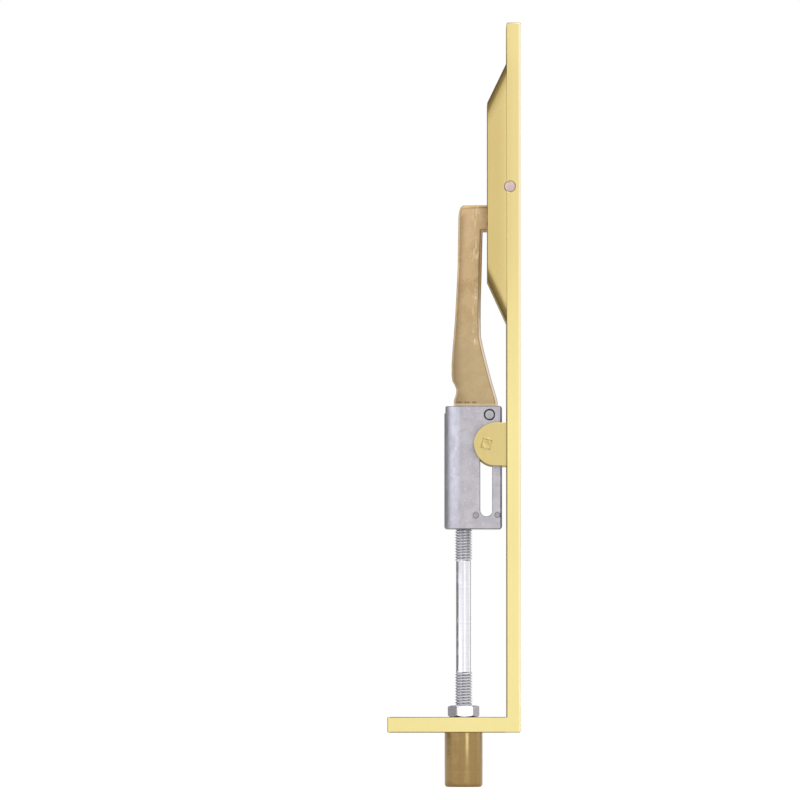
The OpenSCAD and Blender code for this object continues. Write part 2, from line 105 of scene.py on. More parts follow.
def around(centre: Point, radius: float, degrees: float) -> Point:
    """Returns the point of a circle at one angle."""
    turn = math.radians(degrees)
    return (centre[0] + radius * math.cos(turn), centre[1] + radius * math.sin(turn))


def arc(centre: Point, radius: float, start: float, end: float, steps: int) -> list[Point]:
    """Returns points along an arc.

    Args:
        centre: Its centre.
        radius: Its radius.
        start: The angle of its first point in degrees.
        end: The angle of its last point.
        steps: How many steps there are between the two.

    Returns:
        The points, one more than the steps.
    """
    return [around(centre, radius, start + (end - start) * i / steps) for i in range(steps + 1)]


def circle(centre: Point, radius: float, steps: int) -> list[Point]:
    """Returns points round a circle, with no point twice."""
    return arc(centre, radius, 0.0, 360.0, steps)[:-1]


class Value:
    """The output of a node, which takes part in sums as a number does."""

    def __init__(self, wiring: "Wiring", socket: bpy.types.NodeSocket) -> None:
        """Keeps the output's socket and the wiring of its tree."""
        self.wiring, self.socket = wiring, socket

    def __mul__(self, other: object) -> "Value":
        """Returns the product."""
        return self.wiring.math("MULTIPLY", self, other)

    def __add__(self, other: object) -> "Value":
        """Returns the sum."""
        return self.wiring.math("ADD", self, other)

    def __sub__(self, other: object) -> "Value":
        """Returns the difference."""
        return self.wiring.math("SUBTRACT", self, other)

    def __rsub__(self, other: object) -> "Value":
        """Returns the difference, taken from a number."""
        return self.wiring.math("SUBTRACT", other, self)

    def __abs__(self) -> "Value":
        """Returns the size without its sign."""
        return self.wiring.math("ABSOLUTE", self)

    def clamped(self) -> "Value":
        """Keeps the result of this sum from 0 to 1."""
        self.socket.node.use_clamp = True
        return self

    __rmul__, __radd__ = __mul__, __add__


class Part:
    """A node of a tree, whose outputs are taken by name or number."""

    def __init__(self, wiring: "Wiring", node: bpy.types.Node) -> None:
        """Keeps the node and the wiring of its tree."""
        self.wiring, self.node = wiring, node

    def __getitem__(self, name: str | int) -> Value:
        """Returns one of the node's outputs."""
        return Value(self.wiring, self.node.outputs[name])


class Wiring:
    """Adds nodes to one tree and joins them."""

    def __init__(self, tree: bpy.types.NodeTree) -> None:
        """Keeps the tree of a material, a world or a node group."""
        self.tree = tree

    def add(self, kind: str, inputs: dict[str | int, object] | None = None,
            **settings: object) -> Part:
        """Adds one node.

        Args:
            kind: The node's type.
            inputs: What goes into it: outputs of nodes, numbers or colours.
            **settings: Properties of the node to set.

        Returns:
            The new node.
        """
        node = self.tree.nodes.new(kind)
        for name, value in settings.items():
            setattr(node, name, value)
        for name, value in (inputs or {}).items():
            socket = node.inputs[name]
            if isinstance(value, Value):
                self.tree.links.new(value.socket, socket)
            elif isinstance(value, tuple) and socket.type == "RGBA":
                socket.default_value = (*value, 1.0)
            elif value is not None:
                socket.default_value = value
        return Part(self, node)

    def math(self, operation: str, *values: object) -> Value:
        """Does one sum on values."""
        return self.add("ShaderNodeMath", dict(enumerate(values)), operation=operation)[0]

    def larger(self, first: object, second: object) -> Value:
        """Returns the larger of two values."""
        return self.math("MAXIMUM", first, second)

    def vector(self, operation: str, first: object, second: object = None) -> Value:
        """Does one sum on vectors, which gives a vector or its length."""
        part = self.add("ShaderNodeVectorMath", {0: first, 1: second}, operation=operation)
        return part["Value" if operation in ("DOT_PRODUCT", "LENGTH", "DISTANCE") else "Vector"]

    def stretch(self, place: Value, scale: Way) -> Value:
        """Multiplies coordinates by a different amount along each axis."""
        return self.vector("MULTIPLY", place, scale)

    def split(self, place: Value) -> tuple[Value, Value, Value]:
        """Returns the X, Y and Z of some coordinates."""
        axes = self.add("ShaderNodeSeparateXYZ", {0: place})
        return axes["X"], axes["Y"], axes["Z"]

    def remap(self, value: object, low: float, high: float, to_low: float = 0.0,
              to_high: float = 1.0) -> Value:
        """Spreads a value smoothly from one range, low to high, over another."""
        return self.add("ShaderNodeMapRange", dict(enumerate((value, low, high, to_low, to_high))),
                        interpolation_type="SMOOTHSTEP")["Result"]

    def between(self, value: Value, low: float, high: float, soft: float) -> Value:
        """Makes a mask of the values from low to high, which fades beyond each end."""
        return self.remap(value, low - soft, low) * self.remap(value, high + soft, high)

    def blend(self, amount: object, first: object, second: object) -> Value:
        """Mixes two colours, with the second one showing by the amount."""
        return self.add("ShaderNodeMix", {0: amount, 6: first, 7: second}, data_type="RGBA")[2]

    def noise(self, place: Value, scale: object, detail: float = 2.0, rough: float = 0.5,
              twist: float = 0.0) -> Value:
        """Adds a noise texture.

        Args:
            place: The texture's coordinates.
            scale: How fine the noise is.
            detail: How many layers it has.
            rough: How strong its fine layers are.
            twist: How far it is distorted.

        Returns:
            The noise.
        """
        return self.add("ShaderNodeTexNoise",
                        {"Vector": place, "Scale": scale, "Detail": detail, "Roughness": rough,
                         "Distortion": twist})[0]

    def mix_shaders(self, amount: object, first: Part, second: Part) -> Part:
        """Mixes two shaders, with the second one showing by the amount."""
        return self.add("ShaderNodeMixShader", {0: amount, 1: first[0], 2: second[0]})

    def close(self, shader: Part, kind: str = "Material") -> None:
        """Sends a shader to the output of the material or the world."""
        self.add("ShaderNodeOutput" + kind, {"Surface": shader[0]})


def emptied(made: bpy.types.Material | bpy.types.World) -> bpy.types.NodeTree:
    """Returns the emptied node tree of a material or a world."""
    made.use_nodes = True
    made.node_tree.nodes.clear()
    return made.node_tree


class EffectShelf:
    """Builds each shared effect once, as a node group, and hands it to the finishes."""

    def __init__(self) -> None:
        """Starts with no group built, and with each group's inputs and maker."""
        self.groups: dict[Effect, bpy.types.NodeTree] = {}
        self.recipes = {
            Effect.EDGE_WEAR_AND_SHADING: ({"Width": 0.3, "Breakup": 0.4, "Scale": 0.6}, self.edge_wear_and_shading),
            Effect.CREVICE_DIRT_AND_SHADE: ({"Reach": 1.5, "Amount": 1.0}, self.crevice_dirt_and_shade),
            Effect.DRAWN_LINES: ({"Amount": 1.0}, self.drawn_lines),
            Effect.CAST_GRAIN: ({"Scale": 1.0}, self.cast_grain),
            Effect.FINE_SCRATCHES: ({"Amount": 0.5}, self.fine_scratches),
            Effect.PITS: ({"Scale": 1.0, "Amount": 0.5}, self.pits),
        }

    def group(self, effect: Effect) -> bpy.types.NodeTree:
        """Builds an effect's node group, unless it is on the shelf.

        Args:
            effect: Which effect.

        Returns:
            The group.
        """
        if effect not in self.groups:
            inputs, maker = self.recipes[effect]
            tree = bpy.data.node_groups.new(effect.value, "ShaderNodeTree")
            face = tree.interface
            face.new_socket("Place", in_out="INPUT", socket_type="NodeSocketVector")
            for name, value in inputs.items():
                face.new_socket(name, in_out="INPUT",
                                socket_type="NodeSocketFloat").default_value = value
            wiring = Wiring(tree)
            made = maker(wiring, wiring.add("NodeGroupInput"))
            for name in made:
                face.new_socket(name, in_out="OUTPUT", socket_type="NodeSocketFloat")
            wiring.add("NodeGroupOutput", made)
            self.groups[effect] = tree
        return self.groups[effect]

    def edge_wear_and_shading(self, on: Wiring, ins: Part) -> dict[str, Value]:
        """Returns a mask of the outer edges, broken up by noise, for wear and painted shade along
        the edges.
        """
        bevel = on.add("ShaderNodeBevel", {"Radius": ins["Width"] * MM}, samples=4)[0]
        normal = on.add("ShaderNodeNewGeometry")["Normal"]
        bend = on.remap(1.0 - on.vector("DOT_PRODUCT", bevel, normal), 0.01, 0.16)
        grain = on.noise(ins["Place"], ins["Scale"], 3.0)
        gaps = on.remap(grain, 0.42, 0.6) * ins["Breakup"]
        return {"Mask": bend * (1.0 - gaps)}

    def crevice_dirt_and_shade(self, on: Wiring, ins: Part) -> dict[str, Value]:
        """Returns a mask of the places that are close to another surface, for soiling and painted
        shade in crevices.
        """
        near = on.add("ShaderNodeAmbientOcclusion", {"Distance": ins["Reach"] * MM}, samples=6)
        closed = on.remap(1.0 - near["AO"], 0.3, 0.95)
        uneven = on.noise(ins["Place"], 1.3, 3.0) * 0.8 + 0.6
        return {"Mask": (closed * uneven * ins["Amount"]).clamped()}

    def drawn_lines(self, on: Wiring, ins: Part) -> dict[str, Value]:
        """Returns fine lines along the way in which metal was drawn, turned or polished."""
        fine = on.noise(ins["Place"], 4.0, 3.0, 0.6)
        wide = on.noise(ins["Place"], 0.9, 2.0, 0.5)
        return {"Lines": (fine - 0.5) * ins["Amount"] + 0.5, "Bands": on.remap(wide, 0.35, 0.65)}

    def cast_grain(self, on: Wiring, ins: Part) -> dict[str, Value]:
        """Returns the uneven skin of a casting: its height, blotches and pale specks."""
        place, scale = ins["Place"], ins["Scale"]
        lumps = on.noise(place, scale * 1.6, 4.0, 0.6, 0.3)
        sand = on.noise(place, scale * 5.0, 3.0, 0.7)
        cloud = on.noise(place, scale * 0.45, 4.0, 0.65, 0.6)
        dots = on.noise(place, scale * 2.6, 2.0, 0.5)
        return {"Height": sand * 0.4 + lumps, "Blotches": on.remap(cloud, 0.36, 0.64),
                "Specks": on.remap(dots, 0.6, 0.7)}

    def fine_scratches(self, on: Wiring, ins: Part) -> dict[str, Value]:
        """Returns a mask of a few thin scratches that cross each other."""
        top = 0.0
        for turn, shift in ((0.35, 3.0), (-0.6, 17.0), (1.25, 41.0)):
            turned = on.add("ShaderNodeMapping",
                            {"Vector": ins["Place"], "Location": (shift, shift, shift),
                             "Rotation": (turn, turn, turn), "Scale": (0.12, 2.4, 2.4)})
            line = on.noise(turned[0], 1.0, 1.0, 0.4, 0.15)
            top = on.larger(top, on.remap(abs(line - 0.5), 0.012, 0.002))
        patch = on.remap(on.noise(ins["Place"], 0.25, 2.0), 0.5, 0.66)
        return {"Mask": top * patch * ins["Amount"]}

    def pits(self, on: Wiring, ins: Part) -> dict[str, Value]:
        """Returns a mask of small round pits in clusters."""
        cells = on.add("ShaderNodeTexVoronoi", {"Vector": ins["Place"], "Scale": ins["Scale"]})
        pick = on.add("ShaderNodeSeparateColor", {0: cells["Color"]})[0]
        hole = on.remap(pick, 0.55, 1.0) * 0.26 - cells["Distance"]
        return {"Mask": on.remap(hole, 0.0, 0.06) * ins["Amount"]}


class Canvas(Wiring):
    """The wiring of one finish, with the surface's place and direction.

    Places are in millimetres: side is X, depth is Y and up is Z. ways are the three parts of
    the surface's direction.
    """

    def __init__(self, tree: bpy.types.NodeTree, shelf: EffectShelf) -> None:
        """Starts a finish in an empty tree.

        Args:
            tree: The material's tree.
            shelf: The shared effects.
        """
        super().__init__(tree)
        self.shelf = shelf
        where = self.add("ShaderNodeTexCoord")
        self.place = self.stretch(where["Object"], (1 / MM, 1 / MM, 1 / MM))
        self.side, self.depth, self.up = self.split(self.place)
        self.ways = self.split(where["Normal"])

    def effect(self, effect: Effect, **inputs: object) -> Part:
        """Puts a shared effect into the finish, at the surface's own place unless one is given."""
        return self.add("ShaderNodeGroup", {"Place": self.place, **inputs},
                        node_tree=self.shelf.group(effect), label=effect.value)

    def reach(self, middle: Point) -> Value:
        """Measures the distance from a line along X, whose Y and Z are given."""
        away = self.vector("SUBTRACT", self.place, (0.0, *middle))
        return self.vector("LENGTH", self.stretch(away, (0.0, 1.0, 1.0)))


@dataclass(frozen=True)
class Finish:
    """What all the metal finishes share: a colour, a duller colour and how they spread."""

    name: str
    colour: Colour
    dull: Colour
    roughness: float
    # Edge colour for wear and for painted shade along the edges; a pale one paints a highlight.
    edge: Colour = (0.3, 0.23, 0.1)
    edge_width: float = 0.25
    edge_amount: float = 0.4
    # How strongly the colour darkens near other surfaces: soiling and painted shade.
    dirt_and_shade: float = 0.7
    dirt_and_shade_reach: float = 1.2

    def surface(self, on: Canvas) -> Look:
        """Returns the plain colour, roughness and height of this finish."""
        cloud = on.remap(on.noise(on.place, 0.12, 3.0), 0.35, 0.65)
        return (on.blend(cloud, self.colour, self.dull), self.roughness, None)

    def material(self, shelf: EffectShelf) -> bpy.types.Material:
        """Builds the material: its surface, its edges in their own colour for wear and painted
        edge shade, and darkening near other surfaces for soiling and painted shade.

        Args:
            shelf: The shared effects.

        Returns:
            The new material.
        """
        made = bpy.data.materials.new(self.name)
        on = Canvas(emptied(made), shelf)
        colour, rough, height = self.surface(on)
        # Edges take the edge colour: wear, and painted shade along the edges, a painted highlight
        # where that colour is pale.
        amount = on.effect(Effect.EDGE_WEAR_AND_SHADING, Width=self.edge_width)["Mask"] * self.edge_amount
        bevels = self.bevels(on)
        if bevels is not None:
            amount = on.larger(amount, bevels)
        colour = on.blend(amount, colour, self.edge_tone(on))
        # Darker near other surfaces: soiling, and painted shade in crevices and between parts.
        dirt_and_shade_mask = on.effect(Effect.CREVICE_DIRT_AND_SHADE, Reach=self.dirt_and_shade_reach, Amount=self.dirt_and_shade)["Mask"]
        colour = on.blend(dirt_and_shade_mask, colour, tuple(part * 0.32 for part in self.dull))
        normal = None
        if height is not None:
            normal = on.add("ShaderNodeBump",
                            {"Strength": self.bump_strength(), "Distance": 0.1 * MM,
                             "Height": height})[0]
        on.close(on.add("ShaderNodeBsdfPrincipled",
                        {"Metallic": 1.0, "Base Color": colour, "Roughness": dirt_and_shade_mask * 0.25 + rough,
                         "Normal": normal}))
        return made

    def edge_tone(self, on: Canvas) -> object:
        """Returns the colour of the edges: wear and painted shade along the edges."""
        return self.edge

    def bevels(self, on: Canvas) -> Value | None:
        """Returns a mask of the rounded edges that take the edges' colour, or None."""
        return None

    def bump_strength(self) -> float:
        """Returns how strongly the height shows."""
        return 0.4


@dataclass(frozen=True)
class PolishedBrass(Finish):
    """Brass polished along one way and lacquered, with faint lines and a few scratches."""

    grain: Way = (1.6, 1.6, 0.05)
    lines: float = 0.6
    scratches: float = 0.35
    pits: float = 0.0

    def surface(self, on: Canvas) -> Look:
        """Returns the colour, roughness and height of polished brass.

        Args:
            on: The finish's canvas.

        Returns:
            The colour, the roughness and the height.
        """
        drawn = on.effect(Effect.DRAWN_LINES, Place=on.stretch(on.place, self.grain),
                          Amount=self.lines)
        marks = on.effect(Effect.FINE_SCRATCHES, Amount=self.scratches)
        holes = on.effect(Effect.PITS, Scale=0.8, Amount=self.pits)
        cloud = on.remap(on.noise(on.place, 0.035, 2.0), 0.3, 0.7)
        shade = drawn["Bands"] * 0.2 + cloud * 0.5
        colour = on.blend(shade, self.colour, self.dull)
        deep = tuple(part * 0.5 for part in self.dull)
        colour = on.blend(holes["Mask"] * 0.8, colour, deep)
        rough = drawn["Lines"] * 0.08 + (self.roughness - 0.04)
        rough = marks["Mask"] * 0.12 + rough
        height = drawn["Lines"] - marks["Mask"]
        height = height - holes["Mask"] * 2.0
        return colour, rough, height

    def bump_strength(self) -> float:
        """Returns how strongly the height shows."""
        return 0.09


@dataclass(frozen=True)
class FaceBrass(PolishedBrass):
    """Polished brass that is left olive and dull on its back and in the recess, with painted light
    and shade on some of its faces and edges.

    Sizes are in millimetres.
    """

    olive: Colour = srgb(191, 169, 104)
    # Darker olive for the lower recess: painted shade.
    low_olive_shade: Colour = srgb(173, 153, 93)
    # Painted highlight at the upper end of the recess.
    pale: Colour = srgb(228, 209, 142)
    # Painted light for the lower front face.
    bright: Colour = srgb(255, 239, 170)
    # Painted highlight along the long front edges.
    edge_highlight: Colour = srgb(254, 244, 212)
    front: float = -16.3
    recess_half: float = 7.95
    recess_low: float = 112.7
    recess_high: float = 199.3
    warm: Colour = srgb(230, 209, 144)
    warm_low: float = 88.0
    warm_high: float = 150.0
    pin: Point = (-13.2, 156.0)
    pin_r: float = 1.5
    joint: Colour = srgb(112, 92, 52)

    def surface(self, on: Canvas) -> Look:
        """Returns the colour, roughness and height of the face's brass.

        Args:
            on: The finish's canvas.

        Returns:
            The colour, the roughness and the height.
        """
        colour, rough, height = super().surface(on)
        ways = on.ways
        side, depth, up = on.side, on.depth, on.up
        flank = on.remap(abs(ways[0]), 0.6, 0.9)
        warm = (on.remap(up, self.warm_low, self.warm_high)
                * on.remap(up, self.recess_high, self.recess_high - 14.0, 0.6))
        rear = on.remap(depth, self.front + 1.8, self.front + 3.9)
        warm = (rear * 0.3 + 0.75) * warm
        colour = on.blend((warm * flank).clamped(), colour, self.warm)
        # Painted light: the front face is lighter below z 122, down to the foot.
        front = on.remap(ways[1], -0.85, -0.97) * on.remap(up, 122.0, 96.0)
        front = front * on.remap(up, -1.0, 5.0)
        colour = on.blend(front * 0.85, colour, self.bright)
        # Painted highlight: a pale strip along the front edge of each flank.
        flank_edge_highlight = on.remap(depth, self.front + 1.0, self.front + 0.1) * flank
        flank_edge_highlight = flank_edge_highlight * on.remap(up, 5.0, 9.0)
        colour = on.blend(flank_edge_highlight * 0.7, colour, self.edge_highlight)
        ring = on.between(on.reach(self.pin), self.pin_r - 0.02, self.pin_r + 0.16, 0.07)
        gaps = on.remap(on.noise(on.place, 0.9, 2.0), 0.42, 0.55)
        ring = ring * flank * gaps
        colour = on.blend(ring * 0.8, colour, self.joint)
        deep = on.remap(depth, self.front + 0.08, self.front + 0.3)
        near = on.remap(abs(side), self.recess_half, self.recess_half - 0.2)
        middle = (self.recess_low + self.recess_high) / 2
        half = (self.recess_high - self.recess_low) / 2
        along = abs(up - middle)
        inside = deep * near * on.remap(along, half + 0.6, half + 0.3)
        # Painted highlight: a pale crescent round the upper end of the recess.
        rise = on.larger(up - (self.recess_high - self.recess_half + 0.4), 0.0)
        out = on.math("SQRT", rise * rise + side * side)
        tip = on.remap(out, 5.9, 7.5) * on.remap(rise, 0.0, 2.5)
        # Painted shade: the recess is darker below z 131, on the ramp that faces up.
        olive = on.blend(on.remap(up, 131.0, 127.0), self.olive, self.low_olive_shade)
        back = on.remap(ways[1], 0.3, 0.7)
        dull = on.larger(inside, back)
        colour = on.blend(dull, colour, on.blend(tip, olive, self.pale))
        rough = dull * 0.38 + rough
        return colour, rough, height

    def edge_tone(self, on: Canvas) -> object:
        """Returns the colour of the edges, with a painted highlight along the long front ones.

        Args:
            on: The finish's canvas.

        Returns:
            The colour.
        """
        side, up = on.side, on.up
        outer = on.remap(abs(side), self.recess_half, self.recess_half + 1.0)
        front = on.remap(on.ways[1], -0.12, -0.3)
        front = front * on.remap(up, 202.8, 202.2)
        return on.blend(outer * front, self.edge, self.edge_highlight)

    def bevels(self, on: Canvas) -> Value | None:
        """Returns a mask of painted shade along the outer edges of the plate and the foot, a
        painted highlight on the long front edges.

        Args:
            on: The finish's canvas.

        Returns:
            The mask.
        """
        most = 0.0
        for way in on.ways:
            most = on.larger(most, abs(way))
        side, depth, up = on.side, on.depth, on.up
        outer = on.larger(on.remap(abs(side), 8.8, 9.3),
                          on.remap(depth, self.front + 5.0, self.front + 5.5))
        slant = on.remap(most, 0.985, 0.84) * outer
        slant = slant * on.remap(depth, 21.4, 20.6, 0.3)
        seam = (on.remap(depth, self.front + 3.0, self.front + 3.4)
                * on.between(up, self.recess_low + 5.0, self.recess_high - 8.5, 0.6))
        seam = 1.0 - seam * 0.85
        slant = slant * seam
        slant = slant * on.remap(depth, self.front + 4.1, self.front + 5.0, 0.6, 1.7)
        uneven = on.noise(on.place, 0.5, 2.0) * 0.5 + 0.7
        return (slant * uneven).clamped()


@dataclass(frozen=True)
class HousingBrass(PolishedBrass):
    """Brass that is polished on its flat sides alone and left olive and dull elsewhere, with
    painted shade on its slopes, its rounded sides and its lower floor.
    """

    olive: Colour = srgb(180, 158, 97)
    high_floor: Colour = srgb(207, 187, 124)
    floor: Colour = srgb(206, 180, 111)
    low_floor_shade: Colour = srgb(188, 166, 100)
    shade_pit_and_joint_tone: Colour = srgb(112, 92, 52)
    soft_shade: Colour = srgb(150, 128, 76)
    warm: Colour = srgb(230, 209, 144)
    front: float = -16.3
    pin: Point = (-13.2, 156.0)
    pin_r: float = 1.5
    ramps: tuple[tuple[Point, Point, float, float], ...] = (
        ((-12.3, 191.6), (-6.8, 180.2), 3.8, 0.6),
        ((-12.3, 117.1), (-6.8, 129.1), 3.0, 0.25),
    )
    spots: tuple[Point, ...] = ((-2.1, 131.0), (5.6, 131.3), (3.4, 124.3), (-4.6, 134.2))

    def surface(self, on: Canvas) -> Look:
        """Returns the colour, roughness and height of the housing's brass.

        Args:
            on: The finish's canvas.

        Returns:
            The colour, the roughness and the height.
        """
        colour, rough, height = super().surface(on)
        side, depth, up = on.side, on.depth, on.up
        flat = abs(on.ways[0])
        near = on.remap(depth, self.front + 6.4, self.front + 4.0)
        colour = on.blend(near * 0.55, colour, self.warm)
        outside = on.remap(abs(side), 6.6, 7.6)
        uneven = on.noise(on.place, 0.7, 3.0) * 0.5 + 0.75
        missed = on.remap(flat, 0.99, 0.9)
        colour = on.blend(missed, colour, self.olive)
        for start, end, reach, amount in self.ramps:
            away = self.from_ramp(on, start, end)
            shade = on.remap(away, reach, 0.3) * outside
            shade = shade * uneven * amount
            colour = on.blend(shade, colour, self.soft_shade)
        # Painted shade: the housing's tilted, rounded outer surfaces are darker the more they
        # tilt.
        tilt = on.math("SQRT", on.larger(1.0 - flat * flat, 0.0))
        band = on.remap(tilt, 0.05, 0.85) * outside
        band = (band * uneven).clamped()
        colour = on.blend(band * 0.75, colour, self.shade_pit_and_joint_tone)
        inside = on.remap(on.ways[1], -0.1, -0.4) * on.remap(abs(side), 8.1, 7.7)
        floor = on.blend(on.remap(up, 176.0, 180.0), self.floor, self.high_floor)
        # Painted shade: the floor is darker below z 130.5, on the ramp that faces up.
        floor = on.blend(on.remap(up, 130.5, 127.0), floor, self.low_floor_shade)
        colour = on.blend(inside, colour, floor)
        for spot in self.spots:
            away = on.vector("DISTANCE", on.stretch(on.place, (1.0, 0.0, 1.0)),
                             (spot[0], 0.0, spot[1]))
            pit = on.remap(away, 0.42, 0.16) * inside
            colour = on.blend(pit * 0.6, colour, self.shade_pit_and_joint_tone)
        ring = on.between(on.reach(self.pin), self.pin_r - 0.02, self.pin_r + 0.16, 0.07)
        colour = on.blend(ring * 0.7, colour, self.shade_pit_and_joint_tone)
        rough = missed * 0.34 + rough
        return colour, rough, height

    def from_ramp(self, on: Canvas, start: Point, end: Point) -> Value:
        """Measures how far inside the housing the surface is from one of its ramps.

        Args:
            on: The finish's canvas.
            start: Y and Z of the ramp's end at the face.
            end: Y and Z of its other end.

        Returns:
            The distance.
        """
        run, rise = end[0] - start[0], end[1] - start[1]
        size = math.hypot(run, rise) * math.copysign(1.0, rise)
        return (on.up - start[1]) * (run / size) - (on.depth - start[0]) * (rise / size)


@dataclass(frozen=True)
class LeverBrass(PolishedBrass):
    """Polished brass with painted shade on the lever's knuckle, in two lines across it and round
    its slot.

    Sizes are in millimetres.
    """

    knuckle_up: float = 146.4
    knuckle: Colour = srgb(207, 186, 119)
    brown: Colour = srgb(120, 96, 54)
    slot_half: float = 1.6
    slot_up: float = 152.2

    def surface(self, on: Canvas) -> Look:
        """Returns the colour, roughness and height of the lever's brass.

        Args:
            on: The finish's canvas.

        Returns:
            The colour, the roughness and the height.
        """
        colour, rough, height = super().surface(on)
        side, up = on.side, on.up
        # Painted shade on the knuckle below the lever's face.
        below = on.remap(up, self.knuckle_up + 0.1, self.knuckle_up - 0.1)
        colour = on.blend(below * 0.85, colour, self.knuckle)
        # Painted shade in two lines across the knuckle.
        for line, amount in ((self.knuckle_up, 0.8), (self.knuckle_up - 1.3, 0.65)):
            dark = on.between(up, line - 0.06, line + 0.06, 0.12)
            colour = on.blend(dark * amount, colour, self.brown)
        # Painted shade: a dark frame round the slot.
        rim = on.larger(abs(side) - self.slot_half, up - self.slot_up)
        slot = on.remap(rim, 0.5, 0.36)
        colour = on.blend(slot * 0.9, colour, self.brown)
        return colour, rough, height


@dataclass(frozen=True)
class EarBrass(PolishedBrass):
    """Brass stampings, polished on their flat sides and darker brown on their rims."""

    rim: Colour = srgb(112, 86, 52)

    def surface(self, on: Canvas) -> Look:
        """Returns the colour, roughness and height of the ears' brass.

        Args:
            on: The finish's canvas.

        Returns:
            The colour, the roughness and the height.
        """
        colour, rough, height = super().surface(on)
        rim_mask = on.remap(abs(on.ways[0]), 0.8, 0.3)
        uneven = on.noise(on.place, 0.9, 3.0) * 0.5 + 0.6
        rim_mask = (rim_mask * uneven).clamped()
        return (on.blend(rim_mask, colour, self.rim), rough, height)


@dataclass(frozen=True)
class StakedBrass(PolishedBrass):
    """Brass of a riveted pin, with darker lines along the sides of its square stake mark.

    Sizes are in millimetres.
    """

    middle: Point = (0.0, 0.0)
    half: float = 1.34
    turn: float = 15.0
    line: Colour = srgb(146, 121, 62)
    hollow: Colour = srgb(198, 176, 106)

    def surface(self, on: Canvas) -> Look:
        """Returns the colour, roughness and height of the staked pin.

        Args:
            on: The finish's canvas.

        Returns:
            The colour, the roughness and the height.
        """
        colour, rough, height = super().surface(on)
        turned = on.add("ShaderNodeVectorRotate",
                        {"Vector": on.place, "Center": (0.0, *self.middle),
                         "Angle": math.radians(-self.turn)}, rotation_type="X_AXIS")
        _, across, up = on.split(turned[0])
        across = abs(across - self.middle[0])
        up = abs(up - self.middle[1])
        out = on.larger(across, up)
        within = on.remap(out, self.half + 0.12, self.half + 0.02)
        corner = within * on.remap(across + up, self.half * 1.6, self.half * 1.85)
        side = within * on.remap(out, self.half - 0.26, self.half - 0.1)
        uneven = on.remap(on.noise(on.place, 1.3, 2.0), 0.38, 0.6, 0.25, 1.0)
        dark = on.larger(corner, side * uneven)
        inner = (on.remap(out, self.half - 0.3, self.half - 0.55)
                 * on.remap(on.noise(on.place, 0.8, 2.0), 0.4, 0.55))
        colour = on.blend(inner * 0.6, colour, self.hollow)
        colour = on.blend(dark * 0.75, colour, self.line)
        return colour, rough, height


@dataclass(frozen=True)
class CastMetal(Finish):
    """Metal as it came from the mould, with blotches, specks and a grained skin."""

    pale_tone: Colour = (1.0, 1.0, 1.0)
    scale: float = 1.0
    specks: float = 0.5
    bump: float = 0.5
    pits: float = 0.4
    strokes: float = 0.0
    scratches: float = 0.0

    def surface(self, on: Canvas) -> Look:
        """Returns the colour, roughness and height of a casting.

        Args:
            on: The finish's canvas.

        Returns:
            The colour, the roughness and the height.
        """
        skin = on.effect(Effect.CAST_GRAIN, Scale=self.scale)
        holes = on.effect(Effect.PITS, Scale=1.1, Amount=self.pits)
        colour = on.blend(skin["Blotches"], self.colour, self.dull)
        spots = skin["Specks"] * self.specks
        colour = on.blend(spots, colour, self.pale_tone)
        deep = tuple(part * 0.45 for part in self.dull)
        colour = on.blend(holes["Mask"], colour, deep)
        filed = on.effect(Effect.DRAWN_LINES, Place=on.stretch(on.place, (0.3, 0.12, 1.5)),
                          Amount=1.0)
        spread = on.remap(on.noise(on.place, 0.16, 2.0), 0.45, 0.6)
        cut = on.remap(filed["Lines"], 0.6, 0.72) * spread
        cut = cut * self.strokes
        colour = on.blend(cut, colour, self.pale_tone)
        marks = on.effect(Effect.FINE_SCRATCHES, Amount=self.scratches)
        colour = on.blend(marks["Mask"], colour, self.pale_tone)
        rough = skin["Blotches"] * 0.12 + self.roughness
        height = skin["Height"] - holes["Mask"]
        height = height - cut
        return colour, rough, height

    def bump_strength(self) -> float:
        """Returns how strongly the height shows."""
        return self.bump


